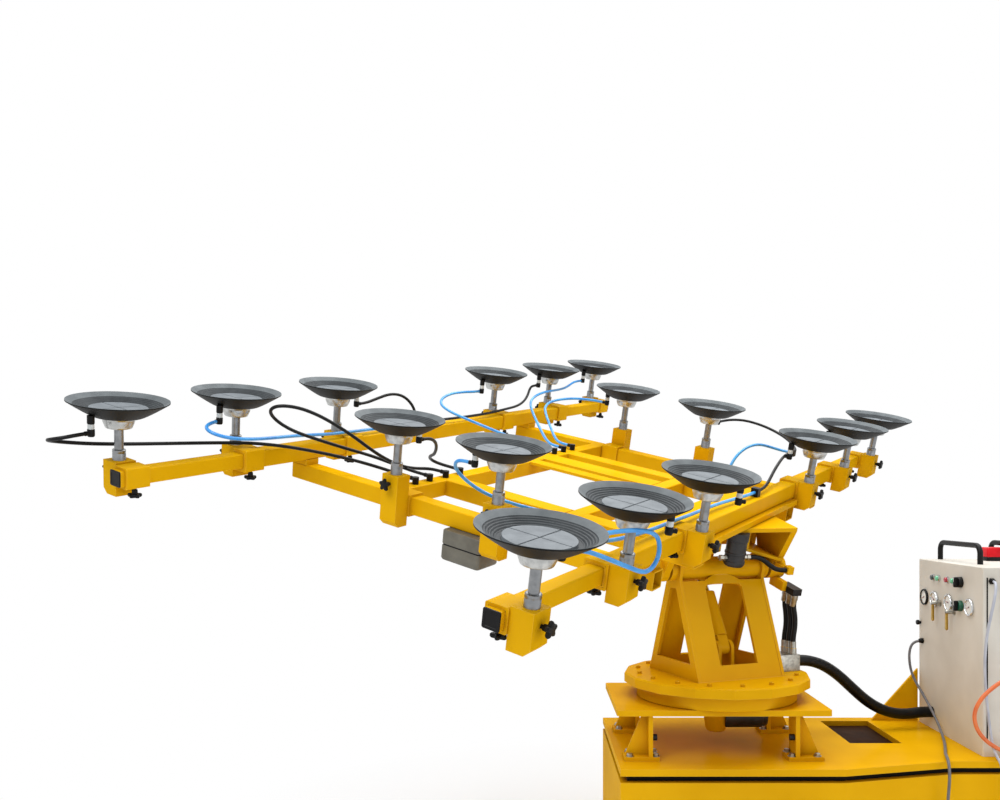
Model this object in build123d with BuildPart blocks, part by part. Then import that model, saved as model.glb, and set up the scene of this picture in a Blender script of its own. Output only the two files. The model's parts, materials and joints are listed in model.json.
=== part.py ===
# Glass manipulator: a telescopic suction frame on a slewing, tilting and turning head.
# Lengths are millimetres and angles degrees. +Z is up, and the origin is on the slewing axis
# at the floor. Each body is drawn in its own square frame and then stood in its rest pose.
import os
from math import atan2, cos, degrees, hypot, pi, radians, sin, tan

from build123d import *

os.makedirs("parts", exist_ok=True)

# Suction cups and the posts that carry them
CUP_D = 300
CUP_H = 50
CUP_BASE_D = 148
CUP_LIP = 4
CUP_FLOOR = 18
DISC_D = 172
DISC_H = 27
HUB_TOP_D = 104
HUB_D = 80
HUB_H = 36
ROD_D = 28
SLEEVE_D = 40
SLEEVE_TOP = 72
SLEEVE_BOTTOM = -22
POST_TRAVEL = 30
VALVE_D = 22
VALVE_R = 104
VALVE_DROP = 62
VALVE_RISE = 11.5

# Square tubes of the suction frame
BEAM = 60
BEAM_WALL = 4.5
ARM = 50
ARM_WALL = 4
ARM_GAP = (BEAM - 2 * BEAM_WALL - ARM) / 2
TUBE_ROUND = 5
BEAM_END = 1045
ARM_END = 1505
ARM_LENGTH = 1060
RIM_Z = 226
CUP_X = 786
CUP_Y = (520, 1005, 1450)
RAIL_CUP = (214, 799)
POST_OFFSET = 68
BEAM_X = CUP_X - POST_OFFSET
RAIL_Y = RAIL_CUP[1] - POST_OFFSET
RAIL_Z = -80
CROSS_X = 286
RAIL_END = 760
BRIDGE_Y = 430
BRIDGE_W = 80
BRIDGE_BARS = ((88, 150), (192, 298))
BRIDGE_BAR_T = 12

# Cup brackets and star knobs
BRACKET_WALL = 8
BRACKET_GAP = 0.2
BRACKET_L = 80
BLOCK_W = 70
BLOCK_OUT = 30
BLOCK_TOP = 38
BLOCK_BOTTOM = -70
RAIL_BLOCK_TOP = 30
RAIL_BLOCK_BOTTOM = -150
BLOCK_CHAMFER = 18
POST_GAP = 0.06
KNOB_R = 22
KNOB_T = 13
KNOB_STEM = 20
KNOB_STEM_D = 12

# Head: rotator, yoke and hinge
ROTATOR_X = 657
HINGE_TO_BEAM = 240
PLATE_T = 15
YOKE_Z = 105
YOKE_HALF = (290, 140)
RING_OD = 300
RING_ID = 200
RING_T = 14.5
RING_GAP = 0.5
TURN_PLATE_X = (520, 770)
HINGE_D = 50
HINGE_FIT = 0.05
HINGE_TUBE_D = 84
HINGE_TUBE_HALF = 205
CHEEK_X = 216
CHEEK_T = 26
BOSS_L = 40
BOSS_D = 88
LUG_X = 22
LUG_T = 12
LUG_R = 110
LUG_ANGLE = -30
OPEN_PIVOT_D = 42
MOTOR_D = 78
MOTOR_Y = -102

# Tower
TOWER_W = 360
TOWER_FOOT = 340
TOWER_TOP = 90
TOWER_H = 340
HINGE_H = 382
LEG_W = 115
WALL = 12
SILL = 55
CYLINDER_FOOT = (-40, 92)
BARREL_D = 64
BARREL_L = 215
CYLINDER_ROD_D = 34
EYE_D = 46
EYE_W = 40
CYLINDER_PIN_D = 20
PIN_FIT = 0.05

# Base
CHASSIS_H = 515
SLOT_H = 22
SLOT_INSET = 28
DECK_T = 23
CHASSIS_WALL = 10
DECK_LEFT = -383
DECK_RIGHT = 1290
DECK_FRONT = -350
DECK_BACK = 400
BEND_X = 362
NECK_X = 760
NECK_FRONT = -250
HATCH = (490, 680, -10, 340)
STANCHION_H = 155
PLATFORM_T = 20
PLATFORM = (-386, 346, -262, 234)
SLEW_RING_D = 576
SLEW_RING_BORE = 420
SLEW_RING_H = 50
SLEW_GAP = 0.6
TURNTABLE_D = 657
TURNTABLE_T = 34.4

# Control cabinet
CABINET_X = (888, 1238)
CABINET_Y = (-192, 339)
CABINET_H = 655
SHEET = 3

# Rest pose
SLEW = 22.15
TILT = 16.65
TURN = 34.42

# Levels and poses that follow
DECK_TOP = CHASSIS_H + SLOT_H + DECK_T
PLATFORM_TOP = DECK_TOP + STANCHION_H + PLATFORM_T
TURNTABLE_TOP = PLATFORM_TOP + SLEW_RING_H + SLEW_GAP + TURNTABLE_T
BASE_POSE = Location((0, 0, 0))
TOWER_POSE = Location((0, 0, TURNTABLE_TOP), (0, 0, SLEW))
HEAD_POSE = TOWER_POSE * Location((0, 0, HINGE_H), (TILT, 0, 0))
FRAME_POSE = HEAD_POSE * Location((0, 0, HINGE_TO_BEAM), (0, 0, TURN - 90)) * Location((-ROTATOR_X, 0, 0))
BEAM_HALF = BEAM / 2
RAIL_TOP = RAIL_Z + BEAM_HALF


def save(name, pose, *pieces):
    """Stand the finished pieces of one node in their rest pose, name them and write the file."""
    solids = [pose * solid for piece in pieces for solid in piece.solids()]
    node = solids[0] if len(solids) == 1 else Compound(children=solids)
    node.label = name
    export_step(node, f"parts/{name}.step")


def square_tube(side, wall, length, plane, width=None):
    """A rounded tube drawn on a plane and drawn out along its normal, square unless given a width."""
    across = width or side
    with BuildPart() as tube:
        with BuildSketch(plane):
            RectangleRounded(across, side, TUBE_ROUND)
            RectangleRounded(across - 2 * wall, side - 2 * wall, TUBE_ROUND - 3, mode=Mode.SUBTRACT)
        extrude(amount=length)
    return tube.part


def along_y(x, y, z):
    """A plane that faces +Y, with its local x along X and its local y along -Z."""
    return Plane((x, y, z), x_dir=(1, 0, 0), z_dir=(0, 1, 0))


def along_x(x, y, z):
    """A plane that faces +X, with its local x along Y and its local y along Z."""
    return Plane((x, y, z), x_dir=(0, 1, 0), z_dir=(1, 0, 0))


# A cup bracket is a welded clamp: a square sleeve round its tube and a bored block for the post.
def bracket(tube, top, bottom):
    """A bracket for a tube along Y, centred on the tube, with its post on the +X side."""
    inner = tube + 2 * BRACKET_GAP
    outer = inner + 2 * BRACKET_WALL
    block_end = POST_OFFSET + BLOCK_OUT
    with BuildPart() as piece:
        with BuildSketch(along_y(0, -BRACKET_L / 2, 0)):
            RectangleRounded(outer, outer, TUBE_ROUND)
            RectangleRounded(inner, inner, TUBE_ROUND - 3, mode=Mode.SUBTRACT)
        extrude(amount=BRACKET_L)
        with BuildSketch(Plane.XY.offset(bottom)):
            with Locations(((outer / 2 - 1 + block_end) / 2, 0)):
                Rectangle(block_end - outer / 2 + 1, BLOCK_W)
        extrude(amount=top - bottom)
        low_edges = piece.edges().filter_by(Axis.Y).group_by(Axis.Z)[0].sort_by(Axis.X)
        chamfer(low_edges[-1], BLOCK_CHAMFER)
        with Locations((POST_OFFSET, 0, top)):
            Hole(SLEEVE_D / 2 + POST_GAP, top - bottom - 12)
    return piece.part


# A star knob is a moulded five-lobed head on a threaded stem.
def star_knob():
    """A knob whose stem starts at the origin and points along +Z."""
    with BuildPart() as knob:
        Cylinder(KNOB_STEM_D / 2, KNOB_STEM, align=(Align.CENTER, Align.CENTER, Align.MIN))
        with BuildSketch(Plane.XY.offset(KNOB_STEM)):
            RegularPolygon(KNOB_R * 0.62, 5, rotation=36)
            with PolarLocations(KNOB_R * 0.62, 5):
                Rectangle(KNOB_R * 0.76, KNOB_R * 0.5)
        extrude(amount=KNOB_T)
    return knob.part


# Suction cup: a moulded rubber dish, its clamped centre disc, and a turned post with a hub.
def cup_dish():
    """The dish, with its foot at the origin."""
    with BuildPart() as dish:
        with BuildSketch(Plane.XZ):
            with BuildLine():
                Polyline(
                    (0, 0),
                    (CUP_BASE_D / 2, 0),
                    (CUP_D / 2, CUP_H - CUP_LIP),
                    (CUP_D / 2, CUP_H),
                    (DISC_D / 2 + 12, CUP_FLOOR),
                    (DISC_D / 2, CUP_FLOOR),
                    (DISC_D / 2, DISC_H),
                    (0, DISC_H),
                    close=True,
                )
            make_face()
        revolve(axis=Axis.Z)
    return dish.part


def cup_post():
    """The hub, rod and clamped sleeve below the dish, in the frame's height."""
    foot = RIM_Z - CUP_H
    with BuildPart() as post:
        with BuildSketch(Plane.XZ):
            with BuildLine():
                Polyline(
                    (0, foot),
                    (HUB_TOP_D / 2, foot),
                    (HUB_D / 2, foot - HUB_H),
                    (ROD_D / 2, foot - HUB_H),
                    (ROD_D / 2, SLEEVE_TOP),
                    (SLEEVE_D / 2, SLEEVE_TOP),
                    (SLEEVE_D / 2, SLEEVE_BOTTOM),
                    (0, SLEEVE_BOTTOM),
                    close=True,
                )
            make_face()
        revolve(axis=Axis.Z)
    return post.part


cup_slope = (CUP_H - CUP_LIP) / (CUP_D / 2 - CUP_BASE_D / 2)
valve_under = RIM_Z - CUP_H + cup_slope * (VALVE_R - VALVE_D / 2 - CUP_BASE_D / 2)


def cup_valve(turn):
    """The stop valve under the dish, turned about the post."""
    spot = Location((0, 0, 0), (0, 0, turn)) * Location((VALVE_R, 0, valve_under - VALVE_DROP))
    with BuildPart() as valve:
        Cylinder(VALVE_D / 2, VALVE_DROP, align=(Align.CENTER, Align.CENTER, Align.MIN))
        with Locations(Location((0, 0, VALVE_RISE), (0, 90, 0))):
            Cylinder(VALVE_D / 3, VALVE_D, align=(Align.CENTER, Align.CENTER, Align.MIN))
    return spot * valve.part


# Every cup: where its post stands, which way its valve faces and what carries it.
NEAR, FAR = 1, -1
INNER, MIDDLE, OUTER = CUP_Y
CUPS = {
    "cup_01": (FAR * CUP_X, -OUTER, 280),
    "cup_02": (FAR * CUP_X, -MIDDLE, 290),
    "cup_03": (FAR * CUP_X, -INNER, 90),
    "cup_04": (-RAIL_CUP[0], -RAIL_CUP[1], 90),
    "cup_05": (RAIL_CUP[0], -RAIL_CUP[1], 180),
    "cup_06": (FAR * CUP_X, INNER, 270),
    "cup_07": (FAR * CUP_X, MIDDLE, 270),
    "cup_08": (FAR * CUP_X, OUTER, 270),
    "cup_09": (-RAIL_CUP[0], RAIL_CUP[1], 180),
    "cup_10": (RAIL_CUP[0], RAIL_CUP[1], 90),
    "cup_11": (NEAR * CUP_X, INNER, 225),
    "cup_12": (NEAR * CUP_X, MIDDLE, 225),
    "cup_13": (NEAR * CUP_X, OUTER, 225),
    "cup_14": (NEAR * CUP_X, -INNER, 45),
    "cup_15": (NEAR * CUP_X, -MIDDLE, 45),
    "cup_16": (NEAR * CUP_X, -OUTER, 90),
}
dish = Location((0, 0, RIM_Z - CUP_H)) * cup_dish()
post = cup_post()
for name, (x, y, valve_turn) in CUPS.items():
    stand = FRAME_POSE * Location((x, y, 0))
    save(name, stand, dish, post, cup_valve(valve_turn))

# Cross-beams: one outer tube above each end of the rails.
cross_beams = [square_tube(BEAM, BEAM_WALL, 2 * BEAM_END, along_y(s * BEAM_X, -BEAM_END, 0)) for s in (NEAR, FAR)]
save("cross_beams", FRAME_POSE, *cross_beams)

# Ladder: two rails, two cross tubes between them and two bridge rails to the near beam.
rails = [square_tube(BEAM, BEAM_WALL, 2 * RAIL_END, along_x(-RAIL_END, s * RAIL_Y, RAIL_Z)) for s in (1, -1)]
cross_half = RAIL_Y - BEAM_HALF
cross_tubes = [
    square_tube(BEAM, BEAM_WALL, 2 * cross_half, along_y(s * CROSS_X, -cross_half, RAIL_Z)) for s in (1, -1)
]
bridge_spans = ((-CROSS_X + BEAM_HALF, CROSS_X - BEAM_HALF), (CROSS_X + BEAM_HALF, RAIL_END))
bridge_rails = [
    square_tube(BEAM, BEAM_WALL, end - start, along_x(start, s * BRIDGE_Y, RAIL_Z), BRIDGE_W)
    for s in (1, -1)
    for start, end in bridge_spans
]

# Saddles: welded blocks that carry the beams on the rails and the bridge rails.
with BuildPart() as saddles:
    with BuildSketch(Plane.XY.offset(RAIL_TOP)):
        spots = [(s * BEAM_X, t * RAIL_Y) for s in (NEAR, FAR) for t in (1, -1)]
        spots += [(BEAM_X, t * BRIDGE_Y) for t in (1, -1)]
        with Locations(*spots):
            Rectangle(BEAM, BEAM)
    extrude(amount=-BEAM_HALF - RAIL_TOP)
save("ladder", FRAME_POSE, *rails, *cross_tubes, *bridge_rails, saddles.part)

# Bridge bars: two flat bars let in between the cross tubes, flush with their tops.
with BuildPart() as bridge_bars:
    with BuildSketch(Plane.XY.offset(RAIL_TOP)):
        for low, high in BRIDGE_BARS:
            with Locations((0, (low + high) / 2)):
                Rectangle(2 * CROSS_X - BEAM, high - low)
    extrude(amount=-BRIDGE_BAR_T)
save("bridge_bars", FRAME_POSE, bridge_bars.part)

# Brackets on the outer tubes and on the rails.
beam_bracket = bracket(BEAM, BLOCK_TOP, BLOCK_BOTTOM)
rail_bracket = bracket(BEAM, RAIL_BLOCK_TOP - RAIL_Z, RAIL_BLOCK_BOTTOM - RAIL_Z)
side_turn = {NEAR: Location(), FAR: Location((0, 0, 0), (0, 0, 180))}
beam_spots = [
    Location((s * BEAM_X, t * y, 0)) * side_turn[s] for s in (NEAR, FAR) for t in (1, -1) for y in (INNER, MIDDLE)
]
rail_spots = [
    Location((s * RAIL_CUP[0], t * RAIL_Y, RAIL_Z), (0, 0, t * 90)) for s in (1, -1) for t in (1, -1)
]
frame_brackets = [spot * beam_bracket for spot in beam_spots] + [spot * rail_bracket for spot in rail_spots]
save("cup_brackets", FRAME_POSE, *frame_brackets)

# Star knobs: one on the outside of every block, and one under every beam sleeve.
knob = star_knob()
block_face = POST_OFFSET + BLOCK_OUT
side_knob = Location((block_face, 0, 0), (0, 90, 0)) * knob


def bottom_knob(tube):
    """A knob that hangs under a sleeve, clear of the block beside it."""
    sleeve_bottom = tube / 2 + BRACKET_GAP + BRACKET_WALL
    return Location((-tube / 4, 0, -sleeve_bottom), (180, 0, 0)) * knob


knobs = [spot * piece for spot in beam_spots for piece in (side_knob, bottom_knob(BEAM))]
rail_knob = Location((0, 0, -RAIL_Z)) * side_knob
knobs += [spot * rail_knob for spot in rail_spots]
save("bracket_knobs", FRAME_POSE, *knobs)

# Telescopic arms: an inner tube with its end bracket, then its plug and knobs.
arm_bracket = bracket(ARM, BLOCK_TOP, BLOCK_BOTTOM)
with BuildPart() as end_plug:
    with BuildSketch(along_y(0, ARM_END, 0)):
        RectangleRounded(ARM, ARM, TUBE_ROUND)
    extrude(amount=4)
    with BuildSketch(along_y(0, ARM_END, 0)):
        RectangleRounded(ARM - 2 * ARM_WALL, ARM - 2 * ARM_WALL, TUBE_ROUND - 3)
    extrude(amount=-20)
arm_tube = square_tube(ARM, ARM_WALL, ARM_LENGTH, along_y(0, ARM_END - ARM_LENGTH, 0))
half_turn = Location((0, 0, 0), (0, 0, 180))
for name, s, t in (
    ("near_left", NEAR, -1),
    ("near_right", NEAR, 1),
    ("far_left", FAR, -1),
    ("far_right", FAR, 1),
):
    axis_spot = Location((s * BEAM_X, 0, 0))
    reach = Location() if t > 0 else half_turn
    bracket_spot = Location((s * BEAM_X, t * OUTER, 0)) * side_turn[s]
    save(f"arm_{name}", FRAME_POSE, axis_spot * reach * arm_tube, bracket_spot * arm_bracket)
    trim = [axis_spot * reach * end_plug.part, bracket_spot * side_knob, bracket_spot * bottom_knob(ARM)]
    save(f"arm_{name}_trim", FRAME_POSE, *trim)

# Turn plate: the frame's half of the rotator, welded between the bridge rails, with ribs to the beam.
turn_plate_bottom = YOKE_Z + PLATE_T + RING_T + RING_GAP + RING_T - HINGE_TO_BEAM
turn_plate_top = turn_plate_bottom + PLATE_T
bridge_gap = 2 * BRIDGE_Y - BRIDGE_W
with BuildPart() as turn_plate:
    with BuildSketch(Plane.XY.offset(turn_plate_bottom)):
        with Locations((sum(TURN_PLATE_X) / 2, 0)):
            Rectangle(TURN_PLATE_X[1] - TURN_PLATE_X[0], bridge_gap)
    extrude(amount=PLATE_T)
    with BuildSketch(Plane.XY.offset(turn_plate_bottom)):
        with Locations((ROTATOR_X, 0)):
            Circle(RING_OD / 2)
            Circle(RING_ID / 2, mode=Mode.SUBTRACT)
    extrude(amount=-RING_T)
    for rib_y in (-230, -110, 110, 230):
        with BuildSketch(Plane((0, rib_y - WALL / 2, 0), x_dir=(1, 0, 0), z_dir=(0, -1, 0))):
            with BuildLine():
                Polyline(
                    (TURN_PLATE_X[0] + 20, turn_plate_top),
                    (TURN_PLATE_X[1], turn_plate_top),
                    (TURN_PLATE_X[1] - 10, -BEAM_HALF),
                    (BEAM_X - BEAM_HALF, -BEAM_HALF),
                    close=True,
                )
            make_face()
        extrude(amount=-WALL)
save("turn_plate", FRAME_POSE, turn_plate.part)

# Vacuum reservoir: a two-part grey box with a dark seam, hung under the left rail.
BOX_X = (0, 160)
BOX_DEPTH = 110
BOX_DROP = 105
SEAM = 6
with BuildPart() as vacuum_box:
    with BuildSketch(Plane.XY.offset(RAIL_Z - BEAM_HALF)):
        with Locations((sum(BOX_X) / 2, -RAIL_Y - 10)):
            RectangleRounded(BOX_X[1] - BOX_X[0], BOX_DEPTH, 10)
    extrude(amount=-BOX_DROP)
    chamfer(vacuum_box.edges().group_by(Axis.Z)[0], 8)
save("vacuum_box", FRAME_POSE, vacuum_box.part)

# Hose fittings: push-in elbows on the cross tubes, tees on the beams and a joining block.
FITTING_D = 24
FITTING_H = 26
FITTING_REACH = 24
FAR_FITTINGS = (-610, -531, -438, -351, 320, 395, 470)
NEAR_FITTINGS = (-560,)
TEE = 28
TEE_H = 32
TEE_SPOTS = ((FAR * BEAM_X, -130), (NEAR * BEAM_X, 110))
JOINER = (640, 700, 107)
NIPPLE = (480, BRIDGE_Y)
with BuildPart() as fittings:
    elbow_spots = [(-CROSS_X, y) for y in FAR_FITTINGS] + [(CROSS_X, y) for y in NEAR_FITTINGS]
    for x, y in elbow_spots:
        with Locations((x, y, RAIL_TOP)):
            Cylinder(FITTING_D / 2, FITTING_H, align=(Align.CENTER, Align.CENTER, Align.MIN))
        with Locations(Location((x, y, RAIL_TOP + FITTING_H - FITTING_D / 3), (0, -90, 0))):
            Cylinder(FITTING_D / 3, FITTING_REACH, align=(Align.CENTER, Align.CENTER, Align.MIN))
    for x, y in TEE_SPOTS:
        with Locations((x, y, BEAM_HALF)):
            Box(TEE, TEE, TEE_H, align=(Align.CENTER, Align.CENTER, Align.MIN))
    with Locations(JOINER):
        Box(TEE, TEE, TEE)
    with Locations((*NIPPLE, RAIL_TOP)):
        Cylinder(FITTING_D / 2, FITTING_H, align=(Align.CENTER, Align.CENTER, Align.MIN))
save("hose_fittings", FRAME_POSE, fittings.part)


# Hoses: each follows straight runs that are joined by tangent arcs.
HOSE_D = 12


def hose(points, diameter):
    """A hose along hand-set points, with arcs that take up most of the shorter run at each turn."""
    runs = [Vector(*b) - Vector(*a) for a, b in zip(points, points[1:])]
    radii = []
    for a, b in zip(runs, runs[1:]):
        turn = radians(a.get_angle(b))
        radii.append(0.45 * min(a.length, b.length) / tan(turn / 2))
    with BuildPart() as tube:
        with BuildLine() as path:
            FilletPolyline(*points, radius=radii)
        with BuildSketch(Plane(path.line @ 0, z_dir=path.line % 0)) as section:
            Circle(diameter / 2)
        sweep(path=path.line)
    length = path.wires()[0].length
    share = tube.part.volume / (section.sketch.area * length)
    print(f"hose {length:.0f} mm, least radius {min(radii):.0f} mm, volume over section times length {share:.3f}")
    return tube.part


ELBOW_X = -CROSS_X - FITTING_REACH
ELBOW_Z = RAIL_TOP + FITTING_H - FITTING_D / 3
TEE_Z = BEAM_HALF + TEE_H / 2


def outlet(cup, reach=0):
    """A point on the axis of a cup's valve, so far out from the end of its spigot."""
    x, y, turn = CUPS[cup]
    out = VALVE_R + VALVE_D + reach
    height = valve_under - VALVE_DROP + VALVE_RISE
    return (x + out * cos(radians(turn)), y + out * sin(radians(turn)), height)


BLACK_HOSES = (
    (
        outlet("cup_01"),
        outlet("cup_01", 32),
        (-768, -1640, 131),
        (-798, -1660, 122),
        (-834, -1652, 112),
        (-856, -1620, 101),
        (-862, -1570, 90),
        (-858, -1500, 79),
        (-848, -1400, 69),
        (-834, -1290, 61),
        (-808, -1180, 56),
        (-768, -1085, 55),
        (-725, -995, 54),
        (-665, -895, 44),
        (-590, -805, 28),
        (-510, -720, 8),
        (-438, -655, -13),
        (-384, -620, -27),
        (-346, -610, ELBOW_Z),
        (ELBOW_X, -610, ELBOW_Z),
    ),
    (
        (ELBOW_X, -531, ELBOW_Z),
        (-342, -531, ELBOW_Z),
        (-374, -546, -26),
        (-412, -586, -8),
        (-458, -662, 24),
        (-508, -764, 57),
        (-562, -862, 92),
        (-601, -912, 113),
        (-631, -950, 140),
        (-633, -984, 170),
        (-611, -1006, 195),
        (-580, -1004, 212),
        (-549, -972, 214),
        (-516, -930, 203),
        (-468, -882, 176),
        (-411, -817, 126),
        (-362, -752, 68),
        (-368, -660, 22),
        (-382, -575, -10),
        (-386, -525, -24),
        (-383, -484, -31),
        (-369, -455, ELBOW_Z),
        (-342, -438, ELBOW_Z),
        (ELBOW_X, -438, ELBOW_Z),
    ),
    (
        outlet("cup_03"),
        outlet("cup_03", 32),
        (-782, -310, 150),
        (-768, -244, 170),
        (-752, -190, 165),
        (-735, -152, 138),
        (-BEAM_X, -130, 95),
        (-BEAM_X, -130, BEAM_HALF + TEE_H),
    ),
    (
        outlet("cup_04"),
        outlet("cup_04", 36),
        (-226, -588, 116),
        (-260, -538, 78),
        (-308, -490, 40),
        (-346, -463, 24),
        (-379, -429, 4),
        (-383, -397, -14),
        (-369, -368, -26),
        (-342, -351, ELBOW_Z),
        (ELBOW_X, -351, ELBOW_Z),
    ),
    (
        (-BEAM_X, -130 + TEE / 2, TEE_Z),
        (-BEAM_X, -70, TEE_Z),
        (-710, 10, 48),
        (-700, 120, 49),
        (-698, 250, 49),
        (-700, 390, 51),
        (-706, 520, 58),
        (-714, 620, 62),
        (-730, 700, 76),
        (-752, 762, 100),
        (-774, 806, 126),
        outlet("cup_07", 34),
        outlet("cup_07"),
    ),
    (
        outlet("cup_10"),
        outlet("cup_10", 36),
        (240, 1006, 144),
        (292, 1034, 148),
        (360, 1030, 144),
        (430, 1000, 138),
        (500, 950, 130),
        (560, 890, 122),
        (607, 822, 113),
        (JOINER[0], JOINER[1] + 54, JOINER[2]),
        (JOINER[0], JOINER[1] + TEE / 2, JOINER[2]),
    ),
    (
        (BEAM_X, 110 + TEE / 2, TEE_Z),
        (BEAM_X, 172, TEE_Z),
        (710, 240, 50),
        (692, 325, 60),
        (673, 412, 74),
        (657, 502, 90),
        (645, 580, 102),
        (JOINER[0], JOINER[1] - 62, JOINER[2]),
        (JOINER[0], JOINER[1] - TEE / 2, JOINER[2]),
    ),
)
BLUE_HOSES = (
    (
        outlet("cup_02"),
        outlet("cup_02", 32),
        (-716, -1184, 131),
        (-684, -1197, 123),
        (-652, -1182, 114),
        (-636, -1148, 105),
        (-632, -1100, 97),
        (-638, -1030, 89),
        (-652, -945, 82),
        (-670, -850, 74),
        (-688, -750, 64),
        (-701, -650, 54),
        (-707, -550, 50),
        (-706, -450, 49),
        (-706, -330, 48),
        (-713, -250, 46),
        (-BEAM_X, -190, TEE_Z),
        (-BEAM_X, -130 - TEE / 2, TEE_Z),
    ),
    (
        outlet("cup_06"),
        outlet("cup_06", 40),
        (-794, 290, 139),
        (-804, 210, 136),
        (-798, 136, 120),
        (-764, 90, 100),
        (-710, 88, 80),
        (-655, 120, 60),
        (-590, 165, 36),
        (-520, 215, 10),
        (-450, 265, -12),
        (-390, 304, -26),
        (-346, 320, ELBOW_Z),
        (ELBOW_X, 320, ELBOW_Z),
    ),
    (
        outlet("cup_08"),
        outlet("cup_08", 42),
        (-776, 1222, 133),
        (-752, 1150, 127),
        (-730, 1070, 121),
        (-718, 990, 119),
        (-710, 910, 120),
        (-706, 840, 118),
        (-704, 775, 110),
        (-694, 712, 94),
        (-664, 660, 74),
        (-615, 612, 52),
        (-560, 565, 28),
        (-500, 515, 4),
        (-440, 462, -16),
        (-388, 418, -27),
        (-346, 395, ELBOW_Z),
        (ELBOW_X, 395, ELBOW_Z),
    ),
    (
        outlet("cup_09"),
        outlet("cup_09", 42),
        (-445, 806, 132),
        (-515, 816, 122),
        (-578, 806, 108),
        (-616, 764, 92),
        (-610, 708, 72),
        (-570, 660, 50),
        (-520, 612, 26),
        (-465, 560, 2),
        (-415, 512, -16),
        (-380, 482, -27),
        (-345, 470, ELBOW_Z),
        (ELBOW_X, 470, ELBOW_Z),
    ),
    (
        outlet("cup_05"),
        outlet("cup_05", 34),
        (22, -788, 122),
        (6, -760, 90),
        (18, -718, 50),
        (48, -672, 14),
        (90, -625, -12),
        (140, -588, -26),
        (190, -566, ELBOW_Z),
        (228, -560, ELBOW_Z),
        (CROSS_X - FITTING_REACH, -560, ELBOW_Z),
    ),
    (
        outlet("cup_16"),
        outlet("cup_16", 36),
        (798, -1246, 130),
        (834, -1202, 110),
        (866, -1150, 86),
        (884, -1104, 66),
        (887, -1062, 68),
        (886, -1031, 92),
        (882, -1026, 126),
        (876, -1044, 154),
        (862, -1092, 170),
        (832, -1150, 172),
        (794, -1190, 160),
        (756, -1188, 142),
        (726, -1155, 120),
        (708, -1100, 100),
        (700, -1030, 82),
        (698, -930, 66),
        (698, -810, 55),
        (698, -680, 50),
        (698, -545, 50),
        (701, -405, 49),
        (698, -265, 48),
        (704, -130, 47),
        (713, -22, 46),
        (BEAM_X, 42, TEE_Z),
        (BEAM_X, 110 - TEE / 2, TEE_Z),
    ),
    (
        (*NIPPLE, RAIL_TOP + FITTING_H),
        (*NIPPLE, 14),
        (484, 440, 58),
        (494, 470, 97),
        (508, 514, 122),
        (521, 564, 131),
        (535, 614, 129),
        (552, 656, 120),
        (576, 688, 111),
        (JOINER[0] - TEE / 2 - 28, JOINER[1], JOINER[2]),
        (JOINER[0] - TEE / 2, JOINER[1], JOINER[2]),
    ),
)
save("hoses_black", FRAME_POSE, *[hose(points, HOSE_D) for points in BLACK_HOSES])
save("hoses_blue", FRAME_POSE, *[hose(points, HOSE_D) for points in BLUE_HOSES])

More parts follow.
